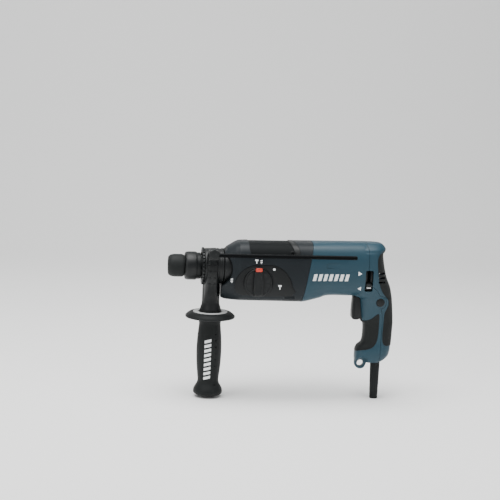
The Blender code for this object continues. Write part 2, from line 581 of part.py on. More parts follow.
def add_motor():
    axis = (0.0, 0.0, MOTOR_Z)
    pivot = (260.0, 0.0, MOTOR_Z)
    shaft = [(204.6, 0.0), (204.6, 1.5), (208.0, 1.5), (209.0, 4.0), (312.0, 4.0), (312.0, 0.0)]
    shaft = place("armature_shaft", turned(shaft, axis, sides=20), "turned_steel", pivot)
    pinion = gear(MOTOR_TEETH, MOTOR_MODULE, 195.0, 205.6, MOTOR_Z, -pi / 2 + pi / MOTOR_TEETH)
    apply_boolean(shaft, place("form_motor_pinion", pinion), "UNION")
    place("motor_front_bearing", tube(211.8, 217.4, 9.5, 4.3, axis, sides=16), "turned_steel")
    place("motor_rear_bearing", tube(305.0, 310.0, 8.0, 4.3, axis, sides=16), "turned_steel")
    outline = []
    for step in range(8):
        outline += arc((0.0, MOTOR_Z), 18.0, 45.0 * step - 16.0, 45.0 * step + 16.0, 2)
        outline += arc((0.0, MOTOR_Z), 14.5, 45.0 * step + 18.0, 45.0 * step + 27.0, 1)
    core = place("armature_core", prism(outline, 244.0, 286.0, axis="x"), "core_steel", pivot)
    bore = place("form_core_bore", disc(200.0, 320.0, 4.3, axis, sides=20))
    apply_boolean(core, bore)
    place("commutator", tube(290.0, 302.0, 11.0, 4.3, axis, sides=24), "copper", pivot)

    fan = place("cooling_fan", disc(222.0, 224.0, 27.0, axis, sides=20), "black_nylon", pivot)
    hub = place("form_fan_hub", disc(221.0, 234.0, 8.0, axis, sides=16, start=0.07))
    apply_boolean(fan, hub, "UNION")
    for step in range(9):
        blade = box((223.2, -0.9, 6.5), (233.0, 0.9, 25.4))
        turn = Matrix.Rotation(2 * pi * (step + 0.3) / 9, 4, "X")
        bmesh.ops.transform(blade, matrix=Matrix.Translation(Vector(axis)) @ turn, verts=blade.verts)
        apply_boolean(fan, place(f"form_fan_blade_{step}", blade), "UNION")
    apply_boolean(fan, bore)

    stator = place("stator_core", tube(243.0, 287.0, 29.0, 19.4, axis, sides=24), "core_steel")
    for side in (-1, 1):
        room = place(f"form_coil_room_{side}", box((240.0, -12.0, MOTOR_Z + side * 23.0 - 2.6),
                                                   (290.0, 12.0, MOTOR_Z + side * 23.0 + 2.6)))
        apply_boolean(stator, room)
    for name, side in (("field_coil_upper", 1), ("field_coil_lower", -1)):
        place(name,
              box((239.0, -11.7, MOTOR_Z + side * 23.0 - 2.3), (289.0, 11.7, MOTOR_Z + side * 23.0 + 2.3)),
              "copper")
    place("air_baffle", tube(236.4, 238.4, 30.0, 24.0, axis, sides=36), "black_nylon")

    ring = place("brush_ring", tube(291.0, 301.0, 24.0, 19.0, axis, sides=20), "black_nylon",
                 (296.0, 0.0, MOTOR_Z))
    lever = [(298.0, -16.0), (329.9, -16.0), (329.9, -35.6), (320.1, -35.6), (320.1, -20.0), (304.0, -20.0),
             (304.0, -22.5), (298.0, -22.5)]
    lever = place("form_lever", prism(lever, -4.5, 4.5, axis="z"))
    lean = Matrix.Rotation(radians(32.0), 4, "X")
    lever.data.transform(Matrix.Translation((0.0, 0.0, MOTOR_Z * MM)) @ lean)
    apply_boolean(ring, lever, "UNION")
    for number, side in ((1, 1), (2, -1)):
        room = place(f"form_brush_room_{number}", box((293.2, side * 19.0 - 12.0, MOTOR_Z - 3.3),
                                                      (299.8, side * 19.0 + 12.0, MOTOR_Z + 3.3)))
        apply_boolean(ring, room)
        low, high = sorted((side * 11.4, side * 23.4))
        place(f"carbon_brush_{number}", box((293.5, low, MOTOR_Z - 3.0), (299.5, high, MOTOR_Z + 3.0)),
              "carbon",
              (296.0, 0.0, MOTOR_Z))


# ---------------------------------------------------------------- controls and handle fittings

def add_controls():
    dial_pivot = (DIAL_X, 0.0, DIAL_Z)
    dial = place("mode_dial", disc(-40.6, -37.8, DIAL_R, dial_pivot, "y", 24), "black_nylon", dial_pivot)
    bar_outline = arc((0.0, -12.8), 7.8, 190.0, 350.0, 6) + [(8.2, 6.0), (6.6, BAR_TOP), (-6.6, BAR_TOP),
                                                             (-8.2, 6.0)]
    bar = place("form_dial_bar",
                prism([(DIAL_X + a, DIAL_Z + b) for a, b in bar_outline], BAR_FACE_Y, -39.6))
    stem = place("form_dial_stem", disc(-39.0, -30.0, 8.6, dial_pivot, "y", 24))
    apply_boolean(dial, bar, "UNION")
    apply_boolean(dial, stem, "UNION")
    button = box((DIAL_X - 5.4, BAR_FACE_Y + 0.6, DIAL_Z + BAR_TOP + GAP),
                 (DIAL_X + 5.4, -42.6, DIAL_Z + BUTTON_TOP))
    place("dial_button", button, "red_abs")

    outline = [(303.0, -80.0), (304.6, -43.9), (331.0, -43.9), (331.0, -76.0), (322.0, -83.0),
               (308.0, -83.4),
               (304.4, -82.4)]
    place("trigger", prism(outline, -9.0, 9.0), "black_nylon")
    place("switch_body", box((339.4, -8.6, -82.0), (359.6, 8.6, -49.0)), "black_nylon")
    lock = [(-25.4, 0.0), (-25.4, LOCK_R - 0.8), (-24.6, LOCK_R), (-14.0, LOCK_R), (-14.0, 0.0)]
    place("lock_button", turned(lock, (LOCK_X, 0.0, LOCK_Z), "y", 24), "black_nylon", (LOCK_X, 0.0, LOCK_Z))

    guard = [(GUARD_END, 6.5), (-205.0, 6.9), (-175.0, 7.7), (-160.0, 7.9), (-148.2, 7.9), (-148.2, 10.2),
             (-143.3, 10.2), (-143.3, 4.2), (GUARD_END, 4.2)]
    place("cord_guard", turned(guard, (GUARD_X, 0.0, 0.0), "z", 24, closed=True), "black_rubber")
    place("cord_clamp", box((338.0, -10.0, -138.0), (353.0, 10.0, -133.0)), "black_nylon")


# ---------------------------------------------------------------- side handle and depth rod

def add_side_handle():
    place("clamp_band", tube(78.0, CLAMP_X[1], 29.4, CLAMP_BORE_R, sides=24), "black_nylon")
    ring = turned([(BARREL_START + 0.4, 28.0), (BARREL_START + 2.0, 30.0), (77.6, 30.0),
                   (77.6, CLAMP_BORE_R),
                   (BARREL_START + 0.4, CLAMP_BORE_R)], closed=True, sides=24)
    holder = place("clamp_holder", ring, "black_nylon")
    neck = [(-75.6, 0.0), (-75.6, 17.4), (-72.0, 16.2), (-66.0, 14.2), (-26.6, 14.0), (-26.6, 0.0)]
    neck = place("form_neck", turned(neck, (NECK_X, 0.0, HANDLE_Z), "z", 24))
    clear = place("form_neck_clear", disc(40.0, 110.0, CLAMP_BORE_R, sides=24))
    band_clear = place("form_band_clear", disc(77.7, 100.0, 29.4 + GAP, sides=24))
    arm_outline = [(-20.0, 14.0), (-26.0, 22.0), (-44.0, 32.0), (-54.0, 32.0), (-57.0, 27.0), (-57.0, 22.0),
                   (-54.0, 18.0), (-40.0, 16.0), (-29.0, 2.0)]
    rod_arm = place("form_rod_arm", prism(arm_outline, 62.0, 77.0, axis="x"))
    rod_bore = place("form_rod_bore", disc(50.0, 100.0, ROD_R + GAP, (0.0, ROD_Y, ROD_Z), sides=16))
    bolt_bore = place("form_bolt_bore", disc(-80.0, -34.0, 4.4, (NECK_X, 0.0, HANDLE_Z), "z", 16))
    apply_boolean(holder, neck, "UNION")
    apply_boolean(holder, rod_arm, "UNION")
    for cutter in (clear, band_clear, rod_bore, bolt_bore):
        apply_boolean(holder, cutter)

    pivot = (NECK_X, 0.0, HANDLE_Z)
    grip = [(-76.0, 17.6), (-80.0, 19.0), (-80.0, 28.6), (-78.6, 29.0), (-79.2, 33.0),
            (-85.6, FLANGE_R), (-88.0, 39.6), (-90.0, 30.0), (-92.0, 18.8), (-98.0, 17.5), (-118.0, 19.4),
            (-140.0, 20.4), (-165.0, 19.6), (-190.0, 17.0), (-198.0, 18.6), (-207.0, 23.4), (-213.6, 23.0),
            (POMMEL_Z, 17.0), (POMMEL_Z, 0.0)]
    bolt_bore = [(-120.0, 0.0), (-120.0, 4.5), (-97.0, 4.5), (-97.0, 8.2), (-90.0, 8.2), (-90.0, 4.5),
                 (-76.0, 4.5)]
    grip = bolt_bore + grip
    place("side_grip", turned(grip, pivot, "z", 16), "black_rubber", pivot)
    place("flange_ring", tube(-79.7, -78.4, 28.0, 19.4, pivot, "z", 16), "pale_nylon", pivot)
    bolt = [(-118.0, 0.0), (-118.0, 4.0), (-96.6, 4.0), (-96.6, 7.7), (-90.4, 7.7), (-90.4, 4.0),
            (-36.0, 4.0),
            (-36.0, 0.0)]
    place("handle_bolt", turned(bolt, pivot, "z", 12), "turned_steel", pivot)
    place("depth_rod", disc(*ROD_X, ROD_R, (0.0, ROD_Y, ROD_Z), sides=16), "core_steel")


clear_scene()
TOOL = bpy.data.objects.new("tool_frame", None)
bpy.context.collection.objects.link(TOOL)
TOOL.location = (-GRIP_X * MM, 0.0, -GRIP_Z * MM)

add_motor_casing()
add_gear_casing()
add_chuck()
add_hammer_train()
add_motor()
add_controls()
add_side_handle()
bpy.context.view_layer.update()
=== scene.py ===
"""Looks of a corded rotary hammer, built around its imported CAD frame."""

import json
from math import cos, pi, radians, sin

import bmesh
import bpy
from bpy.props import FloatProperty, FloatVectorProperty, IntProperty, PointerProperty
from mathutils import Matrix, Vector
from mathutils.bvhtree import BVHTree

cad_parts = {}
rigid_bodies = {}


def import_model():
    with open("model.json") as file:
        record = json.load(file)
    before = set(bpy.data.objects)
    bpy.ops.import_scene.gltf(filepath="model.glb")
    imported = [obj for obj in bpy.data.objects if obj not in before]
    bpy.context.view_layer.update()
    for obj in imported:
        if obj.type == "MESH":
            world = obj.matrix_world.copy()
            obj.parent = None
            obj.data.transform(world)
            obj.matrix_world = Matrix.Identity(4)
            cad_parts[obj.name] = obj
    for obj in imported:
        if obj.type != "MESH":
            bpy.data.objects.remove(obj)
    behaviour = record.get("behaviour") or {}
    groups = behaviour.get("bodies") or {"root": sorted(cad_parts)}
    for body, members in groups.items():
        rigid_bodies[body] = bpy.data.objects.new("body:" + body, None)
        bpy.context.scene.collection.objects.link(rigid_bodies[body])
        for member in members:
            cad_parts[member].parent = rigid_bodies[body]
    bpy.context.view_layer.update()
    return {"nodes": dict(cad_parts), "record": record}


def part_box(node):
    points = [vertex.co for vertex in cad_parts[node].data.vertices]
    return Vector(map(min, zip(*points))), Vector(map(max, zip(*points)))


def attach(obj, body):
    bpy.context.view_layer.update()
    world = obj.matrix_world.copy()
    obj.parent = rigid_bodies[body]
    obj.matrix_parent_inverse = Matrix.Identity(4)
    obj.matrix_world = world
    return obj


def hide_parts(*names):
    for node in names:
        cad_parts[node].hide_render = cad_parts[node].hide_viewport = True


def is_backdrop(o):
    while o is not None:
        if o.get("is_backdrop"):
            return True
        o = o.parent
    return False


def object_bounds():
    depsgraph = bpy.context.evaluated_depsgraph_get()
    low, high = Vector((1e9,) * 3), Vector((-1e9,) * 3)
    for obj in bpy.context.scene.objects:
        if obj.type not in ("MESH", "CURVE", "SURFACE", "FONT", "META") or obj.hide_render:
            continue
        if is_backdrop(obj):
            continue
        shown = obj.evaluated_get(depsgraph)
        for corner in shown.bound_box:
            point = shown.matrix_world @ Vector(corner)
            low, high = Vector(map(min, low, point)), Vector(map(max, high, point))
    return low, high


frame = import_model()

bl_info = {
    "name": "Rotary Hammer",
    "version": (1, 0, 0),
    "blender": (4, 5, 0),
    "location": "View3D > Sidebar > Hammer",
    "description": "Builds the outer pieces and finishes of a corded rotary hammer on its frame",
    "category": "Object",
}

MM = 0.001
TIP_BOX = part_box("tip_cap")
TIP_X = TIP_BOX[0][0]                              # front of the chuck
AXIS_Z = (TIP_BOX[0][2] + TIP_BOX[1][2]) / 2       # spindle axis


def near(node, axis, side):
    """A corner of a node's box, in millimetres in the tool's own coordinates."""
    origin = (TIP_X, 0.0, AXIS_Z)
    return (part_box(node)[side][axis] - origin[axis]) / MM


def middle(node, axis):
    """Middle of a node's box, in the same coordinates."""
    return (near(node, axis, 0) + near(node, axis, 1)) / 2


# Driving places, read from the frame, in millimetres back from the chuck and up from the spindle
DIAL_X = middle("mode_dial", 0)
DIAL_Z = middle("mode_dial", 2)
LOCK_X = middle("lock_button", 0)
LOCK_Z = middle("lock_button", 2)
LOCK_Y = near("lock_button", 1, 0)
GUARD_X = middle("cord_guard", 0)
GUARD_END = near("cord_guard", 2, 0)
NECK_X = middle("side_grip", 0)
POMMEL_Z = -217.0
HANDLE_Z = near("side_grip", 2, 0) - POMMEL_Z      # the side handle's profile heights count from here
ROD_Y = middle("depth_rod", 1)
ROD_Z = middle("depth_rod", 2)
ROD_END = near("depth_rod", 0, 1)
ROD_START = near("depth_rod", 0, 0)
SLOT_X = (near("brush_ring", 0, 1) - 11.4, near("brush_ring", 0, 1) + 1.6)
SLOT_Z = (-33.0, 2.0)
MOTOR_Z = middle("armature_core", 2)
VENT_X = (340.4, 352.6)
VENT_Z = (-19.2, -16.0)                            # lowest vent
VENT_STEP = 7.2
COLLAR_BORE = 26.5                                 # radius of the side handle's collar inside
SEAT_DEPTH = 2.6                                   # how far the rubber and the cover reach into their shell
REACH = 60.0                                       # cutters go this far to each side
ROUND = 96                                         # points around a large turned piece
PRINT_LIFT = 0.16                                  # print stands this far out of its surface
SIDE_Y = 38.0                                      # half width of the casing at its middle
SENSOR_WIDTH = 36.0
WORLD_STRENGTH = 0.44
# name, place from the camera's target and size in metres, power in watts
LIGHTS = (("softbox_top", (-0.2, -0.25, 1.7), 1.6, 78.0), ("softbox_left", (-1.5, -1.3, 0.7), 1.0, 10.0),
          ("softbox_right", (1.3, -1.5, 0.9), 1.0, 7.0))
# floor and its sweep up into a backdrop, in metres
FLOOR_FRONT, FLOOR_BACK, FLOOR_HALF, SWEEP, BACKDROP_TOP = -3.0, 1.4, 5.0, 0.9, 4.0


# ---------------------------------------------------------------- settings

def linear(code):
    """Linear colour from an sRGB hex code such as #2C5162."""
    parts = [int(code[i:i + 2], 16) / 255 for i in (1, 3, 5)]
    return tuple(v / 12.92 if v <= 0.04045 else ((v + 0.055) / 1.055) ** 2.4 for v in parts)


def colour(name, text, code):
    """Colour property from its sRGB hex code."""
    return FloatVectorProperty(name=name, description=text, subtype="COLOR", size=3, min=0.0, max=1.0,
                               default=linear(code))


class HammerColours(bpy.types.PropertyGroup):
    """Base colours of the finishes."""
    housing: colour("Housing", "Teal ABS of the motor housing and grip", "#0B3341")
    gear_case: colour("Gear case", "Grey glass-filled nylon of the gear housing", "#12181C")
    trim: colour("Trim", "Black nylon of the chuck, clamp and controls", "#0B0E0F")
    rubber: colour("Rubber", "Black soft rubber of the grips", "#121515")
    button: colour("Button", "Red ABS of the dial's button", "#C8321F")
    ring: colour("Ring", "Pale nylon of the ring on the flange", "#C4C6C5")
    print: colour("Print", "White printed marks", "#E9ECEC")


class HammerSizes(bpy.types.PropertyGroup):
    """Sizes of grain, rubber and section points."""
    grain: FloatProperty(name="Moulded grain", description="Spacing of the moulded grain, in mm",
                         default=0.9, min=0.2, max=3.0)
    proud: FloatProperty(name="Rubber height",
                         description="How far the rubber stands out of its shell, in mm", default=0.45,
                         min=0.0, max=1.0)
    around: IntProperty(name="Casing points", description="Points around a casing section", default=64,
                        min=16, max=128)


class HammerStage(bpy.types.PropertyGroup):
    """Camera and floor."""
    azimuth: FloatProperty(name="Azimuth", description="Camera azimuth", default=radians(-6.8),
                           subtype="ANGLE")
    elevation: FloatProperty(name="Elevation", description="Camera elevation", default=radians(8.4),
                             subtype="ANGLE")
    roll: FloatProperty(name="Roll", description="Camera roll", default=radians(2.2), subtype="ANGLE")
    distance: FloatProperty(name="Distance", description="Camera distance", default=2.6, subtype="DISTANCE")
    target: FloatVectorProperty(name="Target", description="Point at the middle of the view", size=3,
                                subtype="XYZ_LENGTH", default=(-0.2138, 0.0, 0.1293))
    lens: FloatProperty(name="Lens", description="Focal length in mm for a 36 mm sensor", default=115.5)
    floor: colour("Floor", "Paint of the floor and backdrop", "#F4F4F3")


# ---------------------------------------------------------------- material nodes

def add_node(tree, kind, settings=None, **links):
    """A node with its settings, and its sockets linked or set by name with _ for a space."""
    made = tree.nodes.new(kind)
    for key, value in (settings or {}).items():
        setattr(made, key, value)
    for key, value in links.items():
        socket = made.inputs[key.replace("_", " ")]
        if isinstance(value, bpy.types.NodeSocket):
            tree.links.new(value, socket)
        else:
            socket.default_value = value
    return made


def new_material(name):
    """Empty material with its node tree and its shader node."""
    made = bpy.data.materials.new(name)
    made.use_nodes = True
    tree = made.node_tree
    return made, tree, tree.nodes["Principled BSDF"]


def set_shader(shader, **values):
    """Set unlinked inputs of the shader node, with _ for a space."""
    for key, value in values.items():
        shader.inputs[key.replace("_", " ")].default_value = value


def moulded(name, base, rough, grain_mm, depth_mm, mottle=0.12, **values):
    """Injection-moulded plastic or rubber: eroded grain, slight mottle, and convex edges painted paler as a
    painted highlight.
    """
    made, tree, shader = new_material(name)
    place = add_node(tree, "ShaderNodeTexCoord").outputs["Object"]
    grain = add_node(tree, "ShaderNodeTexNoise", Vector=place, Scale=1.0 / (grain_mm * MM), Detail=3.0,
                     Roughness=0.6)
    cloud = add_node(tree, "ShaderNodeTexNoise", Vector=place, Scale=1.0 / (38.0 * MM), Detail=4.0,
                     Roughness=0.55)
    dark = tuple(v * (1 - mottle) for v in base)
    light = tuple(min(1.0, v * (1 + mottle)) for v in base)
    tone = add_node(tree, "ShaderNodeMix", {"data_type": "RGBA"}, Factor=cloud.outputs["Fac"])
    tone.inputs[6].default_value = (*dark, 1.0)
    tone.inputs[7].default_value = (*light, 1.0)
    # painted highlight: convex edges, found by pointiness, are painted paler as if light caught their rounds
    edge = add_node(tree, "ShaderNodeNewGeometry").outputs["Pointiness"]
    painted_edge_highlight = add_node(tree, "ShaderNodeMapRange", Value=edge, From_Min=0.53, From_Max=0.62, To_Min=0.0,
                    To_Max=0.22)
    painted_edge_highlight_mix = add_node(tree, "ShaderNodeMix", {"data_type": "RGBA"}, Factor=painted_edge_highlight.outputs["Result"])
    tree.links.new(tone.outputs[2], painted_edge_highlight_mix.inputs[6])
    painted_edge_highlight_mix.inputs[7].default_value = (*tuple(min(1.0, v * 1.6 + 0.02) for v in base), 1.0)
    tree.links.new(painted_edge_highlight_mix.outputs[2], shader.inputs["Base Color"])
    gloss = add_node(tree, "ShaderNodeMapRange", Value=cloud.outputs["Fac"], From_Min=0.3, From_Max=0.7,
                     To_Min=rough - 0.05, To_Max=rough + 0.06)
    tree.links.new(gloss.outputs["Result"], shader.inputs["Roughness"])
    bump = add_node(tree, "ShaderNodeBump", Height=grain.outputs["Fac"], Distance=depth_mm * MM,
                    Strength=0.55)
    tree.links.new(bump.outputs["Normal"], shader.inputs["Normal"])
    set_shader(shader, **values)
    return made


def turned_metal(name, base, rough, line_mm):
    """Turned or drawn steel: fine tool lines around the piece, and a thin uneven oil film."""
    made, tree, shader = new_material(name)
    place = add_node(tree, "ShaderNodeTexCoord").outputs["Object"]
    lines = add_node(tree, "ShaderNodeTexWave", {"wave_type": "BANDS", "bands_direction": "X"},
                     Vector=place, Scale=1.0 / (line_mm * MM) / 6.3, Distortion=0.6, Detail=2.0)
    film = add_node(tree, "ShaderNodeTexNoise", Vector=place, Scale=1.0 / (9.0 * MM), Detail=3.0)
    tone = add_node(tree, "ShaderNodeMix", {"data_type": "RGBA"}, Factor=film.outputs["Fac"])
    tone.inputs[6].default_value = (*tuple(v * 0.82 for v in base), 1.0)
    tone.inputs[7].default_value = (*base, 1.0)
    tree.links.new(tone.outputs[2], shader.inputs["Base Color"])
    gloss = add_node(tree, "ShaderNodeMapRange", Value=film.outputs["Fac"], From_Min=0.3, From_Max=0.7,
                     To_Min=rough - 0.06, To_Max=rough + 0.08)
    tree.links.new(gloss.outputs["Result"], shader.inputs["Roughness"])
    bump = add_node(tree, "ShaderNodeBump", Height=lines.outputs["Fac"], Distance=0.03 * MM, Strength=0.4)
    tree.links.new(bump.outputs["Normal"], shader.inputs["Normal"])
    set_shader(shader, Metallic=1.0)
    return made


def make_materials():
    """Every finish by its short name."""
    colours = bpy.context.scene.hammer_colours
    grain = bpy.context.scene.hammer_sizes.grain
    return {
        # ABS with a fine spark-eroded skin: satin, with a broken highlight
        "teal_abs": moulded("Teal ABS, spark-eroded", tuple(colours.housing), 0.46, grain, 0.05, 0.07,
                            IOR=1.53, Specular_IOR_Level=0.38),
        # glass-filled nylon: duller and a little coarser, with flow mottle
        "grey_nylon": moulded("Grey glass-filled nylon", tuple(colours.gear_case), 0.50, grain * 1.1, 0.07,
                              0.12, IOR=1.53, Specular_IOR_Level=0.2),
        "black_nylon": moulded("Black nylon, satin", tuple(colours.trim), 0.46, grain, 0.05, 0.12, IOR=1.53,
                               Specular_IOR_Level=0.26),
        # thermoplastic rubber: matte, soft sheen at grazing angles
        "black_rubber": moulded("Black grip rubber", tuple(colours.rubber), 0.62, grain * 1.3, 0.09, 0.10,
                                IOR=1.5, Specular_IOR_Level=0.2, Sheen_Weight=0.04, Sheen_Roughness=0.5),
        # the same nylon with a coarse dull grain, on the cover over the gears
        "dull_nylon": moulded("Black nylon, dull", tuple(colours.trim), 0.62, grain * 1.4, 0.1, 0.12,
                              IOR=1.53, Specular_IOR_Level=0.1),
        # the one half-gloss plastic: a small sharp highlight
        "red_abs": moulded("Red ABS, half gloss", tuple(colours.button), 0.34, grain, 0.02, 0.06, IOR=1.53),
        "pale_nylon": moulded("Pale nylon", tuple(colours.ring), 0.48, grain, 0.03, 0.05, IOR=1.53),
        # pressed powder: coarse, dark and flat
        "carbon": moulded("Pressed carbon", linear("#303030"), 0.6, 0.6, 0.05, 0.2),
        "print": moulded("White pad print", tuple(colours.print), 0.5, grain, 0.02, 0.03),
        # bare and oxidised steel: fine lines that stretch the highlight
        "turned_steel": turned_metal("Turned steel", linear("#A9AAAC"), 0.30, 0.5),
        "core_steel": turned_metal("Black oxide steel", linear("#4A4B4D"), 0.42, 0.6),
        "cast_aluminium": moulded("Die-cast aluminium", linear("#B4B6B8"), 0.45, 1.4, 0.08, 0.08,
                                  Metallic=1.0),
        "copper": turned_metal("Bare copper", linear("#B8734A"), 0.32, 0.8),
        # blackened steel rod with a soft sheen
        "rod_steel": turned_metal("Blackened drawn steel", linear("#141516"), 0.5, 0.7),
    }


SHELF = {}                                         # filled by the finishes step


# ---------------------------------------------------------------- mesh helpers

def at(x, y, z):
    """World place of a point in the tool's own millimetres."""
    return Vector((TIP_X + x * MM, y * MM, AXIS_Z + z * MM))


def to_world(shape):
    """Move a shape in the tool's millimetres to its place in the world."""
    move = Matrix.Translation((TIP_X, 0.0, AXIS_Z)) @ Matrix.Scale(MM, 4)
    bmesh.ops.transform(shape, matrix=move, verts=shape.verts)


def solid(name, shape, sharp=32.0):
    """Object from a shape in the tool's millimetres, smooth except at edges sharper than an angle."""
    bmesh.ops.recalc_face_normals(shape, faces=shape.faces)
    to_world(shape)
    mesh = bpy.data.meshes.new(name)
    shape.to_mesh(mesh)
    shape.free()
    thing = bpy.data.objects.new(name, mesh)
    bpy.context.collection.objects.link(thing)
    mesh.shade_smooth()
    mesh.set_sharp_from_angle(angle=radians(sharp))
    return thing


def form(shape):
    """A solid that only cuts or joins others and is removed again."""
    return solid("form", shape)


def settle(thing, cutters=(), sharp=32.0):
    """Apply the modifiers and remove the cutters."""
    bpy.context.view_layer.update()
    graph = bpy.context.evaluated_depsgraph_get()
    mesh = bpy.data.meshes.new_from_object(thing.evaluated_get(graph))
    thing.modifiers.clear()
    old = thing.data
    thing.data = mesh
    bpy.data.meshes.remove(old)
    mesh.shade_smooth()
    mesh.set_sharp_from_angle(angle=radians(sharp))
    drop(*cutters)
    return thing


def combine(thing, cutter, operation="DIFFERENCE"):
    """Add a boolean step that settle applies."""
    step = thing.modifiers.new(operation.lower(), "BOOLEAN")
    step.operation = operation
    step.solver = "EXACT"
    step.object = cutter
    cutter.hide_render = True
    cutter.display_type = "WIRE"
    return thing


def axis_turn(axis):
    """Turn from the x axis to another one."""
    turns = {"x": Matrix.Identity(4), "y": Matrix.Rotation(pi / 2, 4, "Z"),
             "z": Matrix.Rotation(-pi / 2, 4, "Y")}
    return turns[axis]


def rounded(profile, radius=0.5):
    """Cut each sharp corner of a turned profile back to a small chamfer that shades as a round."""
    points = []
    last = len(profile) - 1
    for step, here in enumerate(profile):
        here = Vector(here)
        if step in (0, last) and here.y < 1e-6:
            points.append(tuple(here))
            continue
        before = Vector(profile[step - 1]) - here
        after = Vector(profile[(step + 1) % len(profile)]) - here
        if before.length < 1e-6 or after.length < 1e-6 or before.angle(after) > radians(160):
            points.append(tuple(here))
            continue
        for way in (before, after):
            points.append(tuple(here + way.normalized() * min(radius, way.length * 0.4)))
    return points


def turned(profile, where=(0.0, 0.0, 0.0), axis="x", sides=72, closed=False, soft=0.5):
    """Solid of revolution from (along, radius) points; closed makes a tube."""
    shape = bmesh.new()
    rings = []
    for along, radius in rounded(profile, soft) if soft else profile:
        if radius <= 1e-6:
            rings.append([shape.verts.new((along, 0.0, 0.0))])
            continue
        rings.append([shape.verts.new((along, radius * cos(2 * pi * k / sides),
                                       radius * sin(2 * pi * k / sides))) for k in range(sides)])
    pairs = list(zip(rings, rings[1:]))
    if closed:
        pairs.append((rings[-1], rings[0]))
    for first, second in pairs:
        for k in range(sides):
            after = (k + 1) % sides
            corners = [first[k % len(first)], first[after % len(first)], second[after % len(second)],
                       second[k % len(second)]]
            shape.faces.new(list(dict.fromkeys(corners)))
    bmesh.ops.transform(shape, matrix=Matrix.Translation(Vector(where)) @ axis_turn(axis),
                        verts=shape.verts)
    return shape


def disc(low, high, radius, where=(0.0, 0.0, 0.0), axis="x", sides=48, soft=0.0):
    """Solid cylinder between two places along its axis."""
    return turned([(low, 0.0), (low, radius), (high, radius), (high, 0.0)], where, axis, sides, soft=soft)


def tube(low, high, outer, inner, where=(0.0, 0.0, 0.0), axis="x", sides=72, soft=0.3):
    """Hollow cylinder between two places along its axis."""
    return turned([(low, outer), (high, outer), (high, inner), (low, inner)], where, axis, sides, True,
                  soft)


def prism(outline, low, high, axis="y"):
    """Outline carried straight along an axis, from low to high."""
    shape = bmesh.new()
    order = {"y": lambda a, b, d: (a, d, b), "x": lambda a, b, d: (d, a, b), "z": lambda a, b, d: (a, b, d)}
    ends = [shape.verts.new(order[axis](a, b, low)) for a, b in outline]
    far = [shape.verts.new(order[axis](a, b, high)) for a, b in outline]
    shape.faces.new(ends)
    shape.faces.new(list(reversed(far)))
    for k in range(len(outline)):
        after = (k + 1) % len(outline)
        shape.faces.new([ends[k], far[k], far[after], ends[after]])
    return shape


def box(low, high):
    """Block between two corners."""
    return prism([(low[0], low[2]), (high[0], low[2]), (high[0], high[2]), (low[0], high[2])], low[1],
                 high[1])


def soften(thing, width, segments=3, angle=30.0):
    """Round the edges sharper than an angle."""
    step = thing.modifiers.new("edges", "BEVEL")
    step.width = width * MM
    step.segments = segments
    step.limit_method = "ANGLE"
    step.angle_limit = radians(angle)
    step.harden_normals = False
    return thing


def arc(centre, radius, first, last, steps):
    """Points on an arc between two angles in degrees."""
    return [(centre[0] + radius * cos(radians(first + (last - first) * k / steps)), centre[1]
             + radius * sin(radians(first + (last - first) * k / steps))) for k in range(steps + 1)]


def curve_point(p0, p1, p2, p3, t):
    """Catmull-Rom value between p1 and p2, for numbers in tuples."""
    return tuple(0.5 * (2 * b + (c - a) * t + (2 * a - 5 * b + 4 * c - d) * t * t
                        + (3 * b - a - 3 * c + d) * t * t * t) for a, b, c, d in zip(p0, p1, p2, p3))


def smooth_rows(rows, parts=5):
    """Rows of numbers with smooth ones between them."""
    out = []
    for k in range(len(rows) - 1):
        quad = (rows[max(k - 1, 0)], rows[k], rows[k + 1], rows[min(k + 2, len(rows) - 1)])
        out += [curve_point(*quad, step / parts) for step in range(parts)]
    return out + [rows[-1]]


def smooth_loop(points, parts=4):
    """Closed outline with rounded corners."""
    count = len(points)
    out = []
    for k in range(count):
        quad = [points[(k + move) % count] for move in (-1, 0, 1, 2)]
        out += [curve_point(*quad, step / parts) for step in range(parts)]
    return out


def grown(outline, amount):
    """Outline moved outward by an amount, or inward when it is negative."""
    count = len(outline)
    area = sum(outline[k][0] * outline[(k + 1) % count][1] - outline[(k + 1) % count][0] * outline[k][1]
               for k in range(count))
    side = 1.0 if area > 0 else -1.0
    out = []
    for k in range(count):
        here = Vector(outline[k])
        before = (here - Vector(outline[k - 1])).normalized()
        after = (Vector(outline[(k + 1) % count]) - here).normalized()
        normal = Vector((before.y + after.y, -before.x - after.x)) * side
        normal.normalize()
        lean = max(0.5, normal.dot(Vector((before.y, -before.x)) * side))
        out.append(tuple(here + normal * amount / lean))
    return out


def loft(sections):
    """Closed skin over superellipses: two half sizes, a power and a function that places a point."""
    shape = bmesh.new()
    points = bpy.context.scene.hammer_sizes.around
    rings = []
    for half_a, half_b, power, spot in sections:
        ring = []
        for k in range(points):
            turn = 2 * pi * (k + 0.5) / points
            across = abs(cos(turn)) ** (2 / power) * half_a * (1 if cos(turn) > 0 else -1)
            upward = abs(sin(turn)) ** (2 / power) * half_b * (1 if sin(turn) > 0 else -1)
            ring.append(shape.verts.new(spot(across, upward)))
        rings.append(ring)
    for first, second in zip(rings, rings[1:]):
        for k in range(points):
            after = (k + 1) % points
            shape.faces.new([first[k], first[after], second[after], second[k]])
    shape.faces.new(rings[0])
    shape.faces.new(list(reversed(rings[-1])))
    bmesh.ops.triangulate(shape, faces=shape.faces)
    return shape


def casing_loft(rows, inset=0.0):
    """Form along the tool from rows of x, z low, z high, half width and power."""
    sections = []
    for x, low, high, half, power in smooth_rows(rows):
        def spot(across, upward, x=x, level=(low + high) / 2):
            return (x, across, level + upward)
        sections.append((half - inset, (high - low) / 2 - inset, power, spot))
    return loft(sections)


